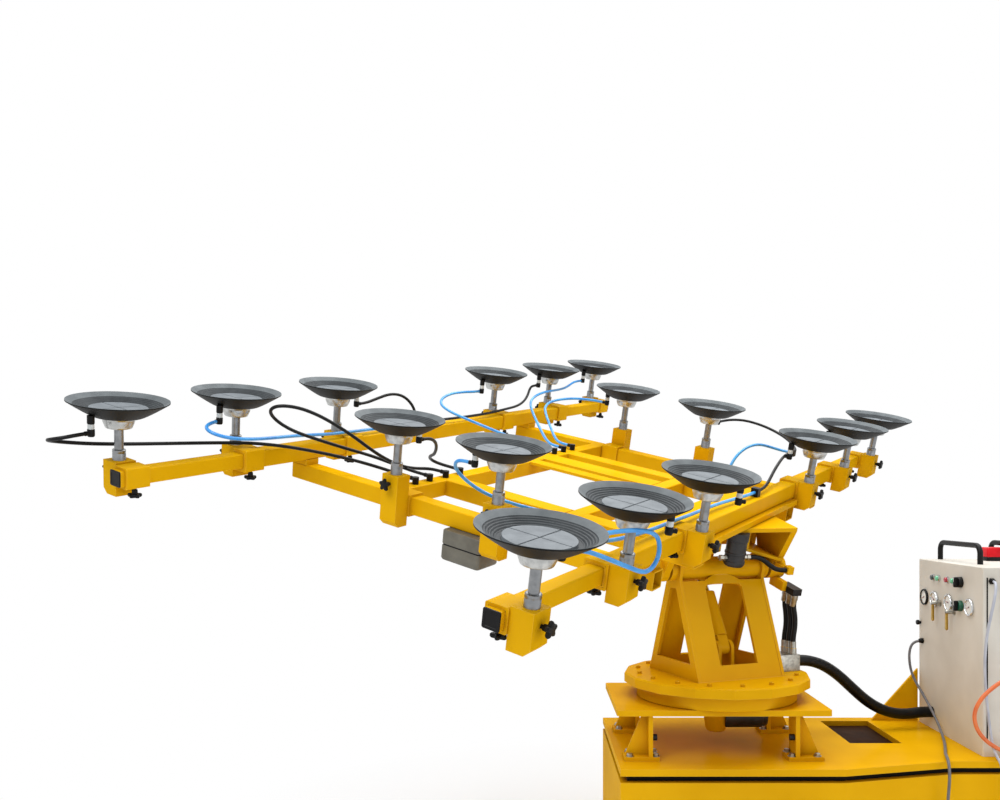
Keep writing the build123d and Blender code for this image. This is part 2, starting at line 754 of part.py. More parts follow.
# Tilt yoke: a plate on two cheeks with hinge bosses, ribs to the cheeks and a fork for the cylinder.
RIB_SETBACK = 18
UNION_Y = -124
UNION_Z = 30
PORT_X = 284
PORT_Z = -70
PORT_BLOCK_X = (CHEEK_X + CHEEK_T, PORT_X + 16)
PORT_BLOCK_Y = (-133, -20)
PORT_BLOCK_H = 46
HEAD_PORTS = (-117, -90, -63)
lug_y = LUG_R * cos(radians(LUG_ANGLE))
lug_z = LUG_R * sin(radians(LUG_ANGLE))
with BuildPart() as yoke:
    with BuildSketch(Plane.XY.offset(YOKE_Z)):
        RectangleRounded(2 * YOKE_HALF[0], 2 * YOKE_HALF[1], 30)
    extrude(amount=PLATE_T)
    for side in (1, -1):
        with BuildSketch(Plane((side * CHEEK_X, 0, 0), x_dir=(0, side, 0), z_dir=(side, 0, 0))):
            Circle(BOSS_D / 2)
            with BuildLine():
                Polyline(
                    (-YOKE_HALF[1] + 30, YOKE_Z),
                    (YOKE_HALF[1] - 30, YOKE_Z),
                    (BOSS_D / 2, 0),
                    (-BOSS_D / 2, 0),
                    close=True,
                )
            make_face()
            Circle(HINGE_D / 2, mode=Mode.SUBTRACT)
        extrude(amount=CHEEK_T)
        with BuildSketch(Plane((side * (CHEEK_X + CHEEK_T), 0, 0), x_dir=(0, side, 0), z_dir=(side, 0, 0))):
            Circle(BOSS_D / 2)
            Circle(HINGE_D / 2, mode=Mode.SUBTRACT)
        extrude(amount=BOSS_L)
        rib_foot = HINGE_TUBE_D / 2 + 8
        with BuildSketch(Plane((side * (CHEEK_X - 80), 0, 0), x_dir=(0, side, 0), z_dir=(side, 0, 0))):
            with Locations((side * RIB_SETBACK / 2, (YOKE_Z + rib_foot) / 2)):
                Rectangle(2 * YOKE_HALF[1] - 60 - RIB_SETBACK, YOKE_Z - rib_foot)
        extrude(amount=-WALL)
        with BuildSketch(Plane((0, YOKE_HALF[1] - 30, 0), x_dir=(1, 0, 0), z_dir=(0, -1, 0))):
            with Locations((side * (CHEEK_X - 45), (YOKE_Z + rib_foot) / 2)):
                Rectangle(100, YOKE_Z - rib_foot)
        extrude(amount=WALL)
        with BuildSketch(Plane((side * LUG_X, 0, 0), x_dir=(0, side, 0), z_dir=(side, 0, 0))):
            with Locations((side * lug_y, lug_z)):
                Circle(OPEN_PIVOT_D / 2 + 14)
            with Locations((side * lug_y, (YOKE_Z + lug_z) / 2)):
                Rectangle(OPEN_PIVOT_D, YOKE_Z - lug_z)
            with Locations((side * lug_y, lug_z)):
                Circle(OPEN_PIVOT_D / 2, mode=Mode.SUBTRACT)
        extrude(amount=LUG_T)
    with Locations((sum(PORT_BLOCK_X) / 2, sum(PORT_BLOCK_Y) / 2, PORT_Z + PORT_BLOCK_H / 2)):
        Box(PORT_BLOCK_X[1] - PORT_BLOCK_X[0], PORT_BLOCK_Y[1] - PORT_BLOCK_Y[0], PORT_BLOCK_H)
    with Locations((CHEEK_X + CHEEK_T / 2, UNION_Y, UNION_Z)):
        Box(CHEEK_T, 28, 28)
    with Locations((CHEEK_X + CHEEK_T / 2, UNION_Y / 2 - BOSS_D / 4, UNION_Z)):
        Box(CHEEK_T, -UNION_Y - BOSS_D / 2, 14)
save("tilt_yoke", HEAD_POSE, yoke.part)

# Hinge pin: a turned bar through both cheeks and the tower's hinge tube.
pin_half = CHEEK_X + CHEEK_T + BOSS_L + 6
with BuildPart() as hinge_pin:
    with BuildSketch(Plane.YZ.offset(-pin_half)):
        Circle(HINGE_D / 2)
    extrude(amount=2 * pin_half)
    chamfer(hinge_pin.edges().filter_by(GeomType.CIRCLE), 3)
save("hinge_pin", HEAD_POSE, hinge_pin.part)

# Rotator ring: the yoke's half of the turning bearing.
with BuildPart() as rotator_ring:
    with BuildSketch(Plane.XY.offset(YOKE_Z + PLATE_T)):
        Circle(RING_OD / 2)
        Circle(RING_ID / 2, mode=Mode.SUBTRACT)
    extrude(amount=RING_T)
save("rotator_ring", HEAD_POSE, rotator_ring.part)

# Rotator motor: a hydraulic motor hung under the front of the yoke, with two port unions.
MOTOR_L = 58
PORT_D = 22
with BuildPart() as motor:
    with BuildSketch(Plane.XY.offset(YOKE_Z)):
        with Locations((0, MOTOR_Y)):
            Circle(MOTOR_D / 2)
    extrude(amount=-MOTOR_L)
    chamfer(motor.edges().filter_by(GeomType.CIRCLE).sort_by(Axis.Z)[0], 6)
    with Locations(Location((0, MOTOR_Y, YOKE_Z - MOTOR_L / 2), (0, 90, 0))):
        Cylinder(PORT_D / 2, MOTOR_D + 50)
MOTOR_HOSE_D = 18
motor_port = (MOTOR_D + 50) / 2
MOTOR_HOSE = (
    (motor_port, MOTOR_Y, YOKE_Z - MOTOR_L / 2),
    (96, MOTOR_Y, YOKE_Z - MOTOR_L / 2),
    (124, -111, 65),
    (150, -120, 45),
    (182, UNION_Y, UNION_Z),
    (CHEEK_X, UNION_Y, UNION_Z),
)
save("rotator_motor", HEAD_POSE, motor.part, hose(MOTOR_HOSE, MOTOR_HOSE_D))

# Tilt cylinder: a barrel on a foot pin in the tower and a rod whose eye meets the yoke's fork.
pin_angle = radians(LUG_ANGLE + TILT)
pin_y = LUG_R * cos(pin_angle)
pin_z = HINGE_H + LUG_R * sin(pin_angle)
foot_y, foot_z = CYLINDER_FOOT
cylinder_length = hypot(pin_y - foot_y, pin_z - foot_z)
cylinder_lean = degrees(atan2(pin_y - foot_y, pin_z - foot_z))
CYLINDER_POSE = TOWER_POSE * Location((0, foot_y, foot_z), (-cylinder_lean, 0, 0))
ROD_START = 95
ROD_FIT = 0.05
with BuildPart() as barrel:
    with BuildSketch(Plane.YZ.offset(-EYE_W / 2)):
        Circle(EYE_D / 2)
        with Locations((0, 22)):
            Rectangle(EYE_D, 44)
        Circle(CYLINDER_PIN_D / 2 + PIN_FIT, mode=Mode.SUBTRACT)
    extrude(amount=EYE_W)
    with BuildSketch(Plane.XY.offset(44)):
        Circle(BARREL_D / 2)
    extrude(amount=BARREL_L - 44)
    with BuildSketch(Plane.XY.offset(52)):
        Circle(CYLINDER_ROD_D / 2 + ROD_FIT)
    extrude(amount=BARREL_L, mode=Mode.SUBTRACT)
save("tilt_cylinder_barrel", CYLINDER_POSE, barrel.part)
with BuildPart() as cylinder_rod:
    with BuildSketch(Plane.XY.offset(ROD_START)):
        Circle(CYLINDER_ROD_D / 2)
    extrude(amount=cylinder_length - ROD_START - EYE_D / 4)
    with BuildSketch(Plane.YZ.offset(-LUG_X + 2)):
        with Locations((0, cylinder_length)):
            Circle(EYE_D / 2)
    extrude(amount=2 * LUG_X - 4)
    with BuildSketch(Plane.YZ.offset(-LUG_X - LUG_T)):
        with Locations((0, cylinder_length)):
            Circle(CYLINDER_PIN_D / 2)
    extrude(amount=2 * (LUG_X + LUG_T))
save("tilt_cylinder_rod", CYLINDER_POSE, cylinder_rod.part)

# Tower: a welded trestle with two side plates, sloping leg plates, sills and the hinge tube.
slope_drop = (TOWER_FOOT - TOWER_TOP) / 2
slope_length = hypot(slope_drop, TOWER_H)
window_half = TOWER_W / 2 - LEG_W


def slope_plane(side):
    """The sloping face on the +Y or -Y side, with its local y up the slope."""
    return Plane(
        (0, side * TOWER_FOOT / 2, 0), x_dir=(-side, 0, 0), z_dir=(0, side * TOWER_H, slope_drop)
    )


with BuildPart() as tower:
    for side in (1, -1):
        with BuildSketch(Plane((side * TOWER_W / 2, 0, 0), x_dir=(0, side, 0), z_dir=(side, 0, 0))):
            with BuildLine():
                Polyline(
                    (-TOWER_FOOT / 2, 0),
                    (TOWER_FOOT / 2, 0),
                    (TOWER_TOP / 2, TOWER_H),
                    (TOWER_TOP / 2, HINGE_H),
                    (-TOWER_TOP / 2, HINGE_H),
                    (-TOWER_TOP / 2, TOWER_H),
                    close=True,
                )
            make_face()
            with Locations((0, HINGE_H)):
                Circle(TOWER_TOP / 2 + 8)
            with BuildLine():
                Polyline(
                    (-TOWER_FOOT / 2 + 55, SILL),
                    (TOWER_FOOT / 2 - 55, SILL),
                    (24, TOWER_H - 60),
                    (-24, TOWER_H - 60),
                    close=True,
                )
            make_face(mode=Mode.SUBTRACT)
        extrude(amount=-WALL)
    for side in (1, -1):
        with BuildSketch(slope_plane(side)):
            with Locations((0, slope_length / 2)):
                Rectangle(TOWER_W, slope_length)
            if side < 0:
                with BuildLine():
                    ThreePointArc(
                        (-window_half, slope_length), (0, slope_length + 26), (window_half, slope_length)
                    )
                    Line((window_half, slope_length), (-window_half, slope_length))
                make_face()
            window_top = slope_length - 55 if side < 0 else slope_length + 1
            with Locations((0, (SILL + window_top) / 2)):
                Rectangle(2 * window_half, window_top - SILL, mode=Mode.SUBTRACT)
        extrude(amount=-WALL)
    with BuildSketch(Plane.YZ.offset(-HINGE_TUBE_HALF)):
        with Locations((0, HINGE_H)):
            Circle(HINGE_TUBE_D / 2)
    extrude(amount=2 * HINGE_TUBE_HALF)
    with BuildSketch(Plane.YZ.offset(-HINGE_TUBE_HALF)):
        with Locations((0, HINGE_H)):
            Circle(HINGE_D / 2 + HINGE_FIT)
    extrude(amount=2 * HINGE_TUBE_HALF, mode=Mode.SUBTRACT)
    split(bisect_by=Plane.XY, keep=Keep.TOP)
    for side in (1, -1):
        split(bisect_by=Plane.YZ.offset(side * (TOWER_W / 2 - WALL)), keep=Keep.BOTH)
save("tower_frame", TOWER_POSE, *tower.solids())

# Cylinder foot and manifold: both are bolted on the turntable, inside and beside the tower.
with BuildPart() as cylinder_foot:
    for side in (1, -1):
        with BuildSketch(Plane.YZ.offset(side * (EYE_W / 2 + 1))):
            with Locations((foot_y, foot_z / 2)):
                Rectangle(EYE_D + 14, foot_z)
            with Locations((foot_y, foot_z)):
                Circle(EYE_D / 2 + 7)
        extrude(amount=side * WALL)
    with BuildSketch(Plane.YZ.offset(-EYE_W / 2 - 1 - WALL)):
        with Locations((foot_y, foot_z)):
            Circle(CYLINDER_PIN_D / 2)
    extrude(amount=EYE_W + 2 + 2 * WALL)
    split(bisect_by=Plane.XY, keep=Keep.TOP)
MANIFOLD_L = 120
MANIFOLD_W = 92
MANIFOLD_H = 60
MANIFOLD_Y = -54
FERRULE_D = 25
FERRULE_H = 22
FERRULE_X = 284
TOWER_PORTS = (-80, -54, -28)
with BuildPart() as manifold:
    with Locations((TOWER_W / 2, MANIFOLD_Y, 0)):
        Box(MANIFOLD_L, MANIFOLD_W, MANIFOLD_H, align=(Align.MIN, Align.CENTER, Align.MIN))
    with Locations(*[(FERRULE_X, y, MANIFOLD_H) for y in TOWER_PORTS]):
        Cylinder(FERRULE_D / 2, FERRULE_H, align=(Align.CENTER, Align.CENTER, Align.MIN))

# Hydraulic hoses: three from the manifold up to the port block under the yoke's hinge boss.
HYDRAULIC_D = 20
hydraulic_hoses = []
for low_y, high_y in zip(TOWER_PORTS, HEAD_PORTS):
    top_y = high_y * cos(radians(TILT)) - PORT_Z * sin(radians(TILT))
    top_z = HINGE_H + high_y * sin(radians(TILT)) + PORT_Z * cos(radians(TILT))
    points = (
        (FERRULE_X, low_y, MANIFOLD_H + FERRULE_H),
        (FERRULE_X, low_y, 118),
        (293, low_y, 159),
        (293, low_y, 201),
        (PORT_X, top_y + 42 * sin(radians(TILT)), top_z - 42 * cos(radians(TILT))),
        (PORT_X, top_y, top_z),
    )
    hydraulic_hoses.append(hose(points, HYDRAULIC_D))
save("hydraulic_hoses", TOWER_POSE, *hydraulic_hoses)

# Slewing conduit: the thick hose from the manifold across to the cabinet.
CONDUIT_D = 42
conduit_x = TOWER_W / 2 + MANIFOLD_L
slew_cos = cos(radians(SLEW))
slew_sin = sin(radians(SLEW))
conduit_start = (conduit_x * slew_cos - MANIFOLD_Y * slew_sin, conduit_x * slew_sin + MANIFOLD_Y * slew_cos)
CONDUIT = (
    (*conduit_start, TURNTABLE_TOP + MANIFOLD_H / 2),
    (conduit_start[0] + 46 * slew_cos, conduit_start[1] + 46 * slew_sin, TURNTABLE_TOP + MANIFOLD_H / 2),
    (392, 101, 840),
    (444, 120, 818),
    (501, 139, 778),
    (558, 156, 726),
    (616, 172, 676),
    (675, 186, 641),
    (734, 198, 622),
    (793, 208, 618),
    (844, 214, 625),
    (CABINET_X[0], 214, 625),
)
save("slew_conduit", BASE_POSE, hose(CONDUIT, CONDUIT_D))

# Turntable: the round plate that the tower is welded on, on the moving half of the slewing ring.
with BuildPart() as turntable:
    with BuildSketch(Plane.XY.offset(-TURNTABLE_T)):
        RegularPolygon(TURNTABLE_D / 2, 16, major_radius=False)
        Circle(60, mode=Mode.SUBTRACT)
    extrude(amount=TURNTABLE_T)
    chamfer(turntable.faces().sort_by(Axis.Z)[-1].outer_wire().edges(), 5)
save("turntable", TOWER_POSE, turntable.part, cylinder_foot.part, manifold.part)

# Slewing ring and platform, on four gusseted stanchions.
with BuildPart() as slew_ring:
    with BuildSketch(Plane.XY.offset(PLATFORM_TOP)):
        Circle(SLEW_RING_D / 2)
        Circle(SLEW_RING_BORE / 2, mode=Mode.SUBTRACT)
    extrude(amount=SLEW_RING_H)
    chamfer(slew_ring.edges().filter_by(GeomType.CIRCLE).sort_by(SortBy.RADIUS)[-2:], 3)
save("slewing_ring", BASE_POSE, slew_ring.part)

plat_left, plat_right, plat_front, plat_back = PLATFORM
plat_mid = ((plat_left + plat_right) / 2, (plat_front + plat_back) / 2)
HUB_BORE = 110
with BuildPart() as platform:
    with BuildSketch(Plane.XY.offset(PLATFORM_TOP - PLATFORM_T)):
        with Locations(plat_mid):
            RectangleRounded(plat_right - plat_left, plat_back - plat_front, 12)
        Circle(HUB_BORE / 2, mode=Mode.SUBTRACT)
    extrude(amount=PLATFORM_T)
save("platform", BASE_POSE, platform.part)

STANCHION_W = 120
STANCHION_D = 90
FOOT_T = 14
WEB_T = 14
GUSSET_T = 10
stanchion_x = (plat_right - plat_left) / 2 - STANCHION_W / 2 - 26
stanchion_y = (plat_back - plat_front) / 2 - STANCHION_D / 2 - 8
with BuildPart() as stanchion:
    with BuildSketch(Plane.XY.offset(DECK_TOP)):
        Rectangle(STANCHION_W, STANCHION_D)
    extrude(amount=FOOT_T)
    with BuildSketch(Plane.XY.offset(DECK_TOP)):
        with Locations((STANCHION_W / 4, 0)):
            Rectangle(WEB_T, STANCHION_D)
    extrude(amount=STANCHION_H)
    with BuildSketch(Plane.XZ.offset(-GUSSET_T / 2)):
        with BuildLine():
            Polyline(
                (-STANCHION_W / 2 + 6, DECK_TOP + FOOT_T),
                (STANCHION_W / 4, DECK_TOP + FOOT_T),
                (STANCHION_W / 4, DECK_TOP + STANCHION_H),
                (STANCHION_W / 4 - 24, DECK_TOP + STANCHION_H),
                close=True,
            )
        make_face()
    extrude(amount=GUSSET_T)
stanchions = [
    Location((plat_mid[0] + s * stanchion_x, plat_mid[1] + t * stanchion_y, 0), (0, 0, 0 if s < 0 else 180))
    * stanchion.part
    for s in (1, -1)
    for t in (1, -1)
]
save("stanchions", BASE_POSE, *stanchions)

BOLT_D = 22
BOLT_L = 16
with BuildPart() as bolts:
    for s in (1, -1):
        for t in (1, -1):
            web_x = plat_mid[0] + s * stanchion_x - s * (STANCHION_W / 4 - WEB_T / 2 - BOLT_L)
            web_face = plat_mid[0] + s * (stanchion_x - STANCHION_W / 4 - WEB_T / 2)
            spot = Location(
                (web_face, plat_mid[1] + t * (stanchion_y + 24), DECK_TOP + STANCHION_H / 2), (0, -90 * s, 0)
            )
            with Locations(spot):
                Cylinder(BOLT_D / 2, BOLT_L, align=(Align.CENTER, Align.CENTER, Align.MIN))
save("stanchion_bolts", BASE_POSE, bolts.part)

# Slewing gearmotor: a tapered gearbox through the platform and a motor lying beside it.
GEARBOX_D = 104
GEARBOX_TIP_D = 70
GEARBOX_DROP = 110
GEARBOX_FLANGE_D = 150
GEARBOX_FLANGE_T = 12
DRIVE_D = 84
DRIVE_L = 150
with BuildPart() as gearmotor:
    with BuildSketch(Plane.XY.offset(PLATFORM_TOP)):
        Circle(GEARBOX_D / 2)
    extrude(amount=-PLATFORM_T)
    with BuildSketch(Plane.XY.offset(PLATFORM_TOP - PLATFORM_T)):
        Circle(GEARBOX_FLANGE_D / 2)
    extrude(amount=-GEARBOX_FLANGE_T)
    with BuildSketch(Plane.XY.offset(PLATFORM_TOP - PLATFORM_T)):
        Circle(GEARBOX_D / 2)
    with BuildSketch(Plane.XY.offset(PLATFORM_TOP - PLATFORM_T - GEARBOX_DROP)):
        Circle(GEARBOX_TIP_D / 2)
    loft()
    drive = Location((GEARBOX_D / 3, 0, PLATFORM_TOP - PLATFORM_T - 56), (0, 90, 0))
    with Locations(drive):
        Cylinder(DRIVE_D / 2, DRIVE_L, align=(Align.CENTER, Align.CENTER, Align.MIN))
save("slewing_gearmotor", BASE_POSE, gearmotor.part)


# Base: a welded chassis with a shadow gap, a deck plate with a hatch, and a ballast block inside.
def deck_points(inset):
    """The deck's outline, drawn in by an inset, with the corners that narrow it to the cabinet."""
    return (
        (DECK_LEFT + inset, DECK_FRONT + inset),
        (BEND_X - inset / 4, DECK_FRONT + inset),
        (NECK_X - inset / 4, NECK_FRONT + inset),
        (DECK_RIGHT - inset, NECK_FRONT + inset),
        (DECK_RIGHT - inset, DECK_BACK - inset),
        (DECK_LEFT + inset, DECK_BACK - inset),
    )


GLAND_W = 30
GLAND_H = 40
GLAND_TOP = 262
GLANDS = ((720, -283), (908, -277))
SOCKET = (1010, -231, 577)
SOCKET_SIDE = 30
STAY_L = 188
STAY_H = 210
STAY_T = 12
STAY_Y = CABINET_Y[1] + 23
hatch_mid = ((HATCH[0] + HATCH[1]) / 2, (HATCH[2] + HATCH[3]) / 2)
hatch_size = (HATCH[1] - HATCH[0], HATCH[3] - HATCH[2])
with BuildPart() as chassis:
    with BuildSketch():
        with BuildLine():
            Polyline(*deck_points(0), close=True)
        make_face()
    extrude(amount=CHASSIS_H)
    with BuildSketch(Plane.XY.offset(CHASSIS_H)):
        with BuildLine():
            Polyline(*deck_points(SLOT_INSET), close=True)
        make_face()
    extrude(amount=SLOT_H)
    with BuildSketch(Plane.XY.offset(CHASSIS_WALL)):
        with BuildLine():
            Polyline(*deck_points(SLOT_INSET + CHASSIS_WALL), close=True)
        make_face()
    extrude(amount=CHASSIS_H + SLOT_H - 2 * CHASSIS_WALL, mode=Mode.SUBTRACT)
    for x, y in GLANDS:
        with Locations((x, y + GLAND_W / 4, GLAND_TOP)):
            Box(GLAND_W, GLAND_W * 1.5, GLAND_H, align=(Align.CENTER, Align.CENTER, Align.MAX))
save("chassis", BASE_POSE, chassis.part)

BALLAST_X = (-330, 420)
BALLAST_Y = (-290, 340)
BALLAST_H = 300
with BuildPart() as ballast:
    with BuildSketch(Plane.XY.offset(CHASSIS_WALL)):
        with Locations((sum(BALLAST_X) / 2, sum(BALLAST_Y) / 2)):
            Rectangle(BALLAST_X[1] - BALLAST_X[0], BALLAST_Y[1] - BALLAST_Y[0])
    extrude(amount=BALLAST_H)
save("ballast_block", BASE_POSE, ballast.part)

with BuildPart() as deck:
    with BuildSketch(Plane.XY.offset(CHASSIS_H + SLOT_H)):
        with BuildLine():
            Polyline(*deck_points(0), close=True)
        make_face()
        with Locations(hatch_mid):
            Rectangle(*hatch_size, mode=Mode.SUBTRACT)
    extrude(amount=DECK_T)
    with Locations((SOCKET[0], SOCKET[1], DECK_TOP)):
        Box(SOCKET_SIDE, SOCKET_SIDE, SOCKET_SIDE, align=(Align.MIN, Align.CENTER, Align.MIN))
    with BuildSketch(Plane((0, STAY_Y, 0), x_dir=(1, 0, 0), z_dir=(0, -1, 0))):
        with BuildLine():
            Polyline(
                (CABINET_X[0] - STAY_L, DECK_TOP),
                (CABINET_X[0], DECK_TOP),
                (CABINET_X[0], DECK_TOP + STAY_H),
                close=True,
            )
        make_face()
    extrude(amount=STAY_T)
save("deck_plate", BASE_POSE, deck.part)

# Control cabinet: a folded sheet shell on the deck, with its panel facing the tower.
cab_mid = (sum(CABINET_X) / 2, sum(CABINET_Y) / 2)
cab_size = (CABINET_X[1] - CABINET_X[0], CABINET_Y[1] - CABINET_Y[0])
CABINET_TOP = DECK_TOP + CABINET_H
with BuildPart() as cabinet:
    with BuildSketch(Plane.XY.offset(DECK_TOP)):
        with Locations(cab_mid):
            RectangleRounded(*cab_size, 6)
    extrude(amount=CABINET_H)
    with BuildSketch(Plane.XY.offset(DECK_TOP + SHEET)):
        with Locations(cab_mid):
            Rectangle(cab_size[0] - 2 * SHEET, cab_size[1] - 2 * SHEET)
    extrude(amount=CABINET_H - 2 * SHEET, mode=Mode.SUBTRACT)
    chamfer(cabinet.faces().sort_by(Axis.Z)[-1].outer_wire().edges(), 2)
save("cabinet_shell", BASE_POSE, cabinet.part)

# Cabinet handles: two bent bars on the roof, and the red isolator block beside them.
HANDLE_D = 20
HANDLE_H = 68
HANDLE_Y = (-20, 310)
HANDLE_X = (CABINET_X[0] + 74, CABINET_X[1] - 74)
handles = []
for x in HANDLE_X:
    with BuildPart() as handle:
        with BuildLine() as bar:
            FilletPolyline(
                (x, HANDLE_Y[0], CABINET_TOP),
                (x, HANDLE_Y[0], CABINET_TOP + HANDLE_H),
                (x, HANDLE_Y[1], CABINET_TOP + HANDLE_H),
                (x, HANDLE_Y[1], CABINET_TOP),
                radius=30,
            )
        with BuildSketch(Plane((x, HANDLE_Y[0], CABINET_TOP), z_dir=(0, 0, 1))):
            Circle(HANDLE_D / 2)
        sweep(path=bar.line)
    handles.append(handle.part)

ISOLATOR = (1131, 225, 88, 90, 52)
with BuildPart() as isolator:
    with BuildSketch(Plane.XY.offset(CABINET_TOP)):
        with Locations((ISOLATOR[0], ISOLATOR[1])):
            RectangleRounded(ISOLATOR[2], ISOLATOR[3], 8)
    extrude(amount=ISOLATOR[4])
    chamfer(isolator.faces().sort_by(Axis.Z)[-1].edges(), 5)
save("cabinet_roof_fittings", BASE_POSE, *handles, isolator.part)


# Panel instruments stand on the cabinet's panel, which faces -X.
def on_panel(y, z, out=0):
    """A spot on the panel that points out of it, y along the panel and z above the deck."""
    return Location((CABINET_X[0] - out, y, DECK_TOP + z), (0, -90, 0))


GAUGE_D = 63
GAUGE_OUT = 22
LAMP_D = 26
LAMP_OUT = 16
GAUGE_SPOTS = ((279, 507), (188, 507), (67, 507), (-99, 507))
LAMP_SPOTS = ((197, 591), (153, 591), (76, 591), (26, 591))
with BuildPart() as gauges:
    for y, z in GAUGE_SPOTS:
        with Locations(on_panel(y, z)):
            Cylinder(GAUGE_D / 2, GAUGE_OUT, align=(Align.CENTER, Align.CENTER, Align.MIN))
with BuildPart() as lamps:
    for y, z in LAMP_SPOTS:
        with Locations(on_panel(y, z)):
            Cylinder(LAMP_D / 2, LAMP_OUT, align=(Align.CENTER, Align.CENTER, Align.MIN))
save("panel_instruments", BASE_POSE, gauges.part, lamps.part)

# Selector knobs and valve levers turn on the panel, on short spindles.
SPINDLE_GAP = 0.4
KNOB_SPOTS = {"selector_knob": (-30, 591), "regulator_knob": (-30, 505)}
for name, (y, z) in KNOB_SPOTS.items():
    with BuildPart() as panel_knob:
        with BuildSketch(Plane.XY.offset(SPINDLE_GAP)):
            Circle(20)
        extrude(amount=14)
        with BuildSketch(Plane.XY.offset(SPINDLE_GAP + 14)):
            Rectangle(38, 12)
        extrude(amount=14)
    save(name, on_panel(y, z), panel_knob.part)

LEVER_L = 62
LEVER_W = 13
LEVER_T = 7
LEVER_OUT = GAUGE_OUT + 3
LEVER_SPOTS = {"valve_lever_left": (144, 497), "valve_lever_right": (26, 477)}
for name, (y, z) in LEVER_SPOTS.items():
    with BuildPart() as lever:
        with BuildSketch(Plane.XY.offset(SPINDLE_GAP)):
            Circle(13)
        extrude(amount=LEVER_OUT + LEVER_T)
        with BuildSketch(Plane.XY.offset(SPINDLE_GAP + LEVER_OUT)):
            with Locations((LEVER_L / 2, 0)):
                SlotOverall(LEVER_L + LEVER_W, LEVER_W)
        extrude(amount=LEVER_T)
    save(name, on_panel(y, z) * Location((0, 0, 0), (0, 0, 180)), lever.part)

# Leads of the cabinet: two pale cables over the edge of the deck and an orange air hose.
CABLE_D = 10
AIR_HOSE_D = 14
panel_x = CABINET_X[0]
side_y = CABINET_Y[0]
FRONT_CABLE = (
    (panel_x, 300, 890),
    (862, 300, 890),
    (838, 298, 872),
    (828, 292, 828),
    (831, 278, 770),
    (842, 250, 728),
    (850, 205, 692),
    (856, 150, 650),
    (855, 90, 612),
    (843, 25, 584),
    (822, -42, 571),
    (795, -108, 568),
    (768, -170, 570),
    (748, -215, 575),
    (736, -252, 578),
    (727, -288, 564),
    (722, -306, 528),
    (720, -304, 482),
    (720, -295, 430),
    (720, -287, 375),
    (GLANDS[0][0], GLANDS[0][1], 318),
    (*GLANDS[0], GLAND_TOP),
)
SIDE_CABLE = (
    (918, side_y, 1168),
    (918, -214, 1168),
    (912, -235, 1160),
    (905, -247, 1138),
    (898, -250, 1104),
    (890, -243, 1052),
    (884, -229, 988),
    (882, -218, 915),
    (884, -214, 840),
    (890, -213, 765),
    (897, -214, 692),
    (903, -219, 632),
    (906, -231, 594),
    (907, -252, 576),
    (908, -278, 560),
    (908, -292, 524),
    (908, -291, 470),
    (908, -284, 415),
    (908, -279, 360),
    (GLANDS[1][0], GLANDS[1][1], 308),
    (*GLANDS[1], GLAND_TOP),
)
AIR_HOSE = (
    (1000, side_y, 870),
    (1000, -222, 870),
    (985, -252, 868),
    (957, -268, 858),
    (920, -272, 840),
    (880, -270, 812),
    (845, -266, 776),
    (824, -260, 728),
    (832, -256, 678),
    (862, -250, 636),
    (910, -240, 602),
    (966, SOCKET[1], SOCKET[2]),
    SOCKET,
)
leads = [hose(FRONT_CABLE, CABLE_D), hose(SIDE_CABLE, CABLE_D), hose(AIR_HOSE, AIR_HOSE_D)]
save("panel_leads", BASE_POSE, *leads)
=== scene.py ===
import json
from itertools import product

import bmesh
import bpy
import numpy as np
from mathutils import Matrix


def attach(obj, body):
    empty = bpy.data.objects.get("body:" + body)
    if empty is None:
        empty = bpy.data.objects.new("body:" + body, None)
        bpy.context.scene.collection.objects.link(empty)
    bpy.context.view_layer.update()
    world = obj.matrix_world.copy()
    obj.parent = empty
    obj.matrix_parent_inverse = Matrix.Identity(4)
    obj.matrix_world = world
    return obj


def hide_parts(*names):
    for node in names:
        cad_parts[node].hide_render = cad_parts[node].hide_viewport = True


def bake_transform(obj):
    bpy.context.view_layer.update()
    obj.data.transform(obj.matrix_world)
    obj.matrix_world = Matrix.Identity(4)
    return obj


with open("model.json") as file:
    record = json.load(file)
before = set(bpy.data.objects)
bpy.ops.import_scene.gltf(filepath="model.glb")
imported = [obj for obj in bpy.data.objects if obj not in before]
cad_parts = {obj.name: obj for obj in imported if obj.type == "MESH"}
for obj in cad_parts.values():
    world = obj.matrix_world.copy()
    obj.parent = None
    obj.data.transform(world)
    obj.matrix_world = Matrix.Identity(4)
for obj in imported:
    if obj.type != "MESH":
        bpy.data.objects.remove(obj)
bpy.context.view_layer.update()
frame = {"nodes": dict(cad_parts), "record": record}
nodes = frame["nodes"]
joints = {joint["name"]: joint for joint in frame["record"]["behaviour"]["joints"]}


# Chassis, deck and platform
# The base is welded from thick plate and sprayed with yellow machinery enamel. The deck stands on
# the chassis over a shadow gap, where a black strip is painted shade, and a dark brown board at the
# bottom of its hatch is painted shade too.
def linear(code):
    """sRGB hex to linear light: c / 12.92 up to 0.04045, and ((c + 0.055) / 1.055) ** 2.4 above."""
    share = np.array([int(code[i : i + 2], 16) for i in (1, 3, 5)]) / 255
    light = np.where(share <= 0.04045, share / 12.92, ((share + 0.055) / 1.055) ** 2.4)
    return (*light.tolist(), 1.0)


def add(owner, kind, inputs=None, settings=None):
    """Add a shader node with its settings; each input is a value, or the socket that feeds it."""
    node = owner.node_tree.nodes.new(f"ShaderNode{kind}")
    for key, value in (settings or {}).items():
        setattr(node, key, value)
    for key, value in (inputs or {}).items():
        if isinstance(value, bpy.types.NodeSocket):
            owner.node_tree.links.new(value, node.inputs[key])
        else:
            node.inputs[key].default_value = value
    return node


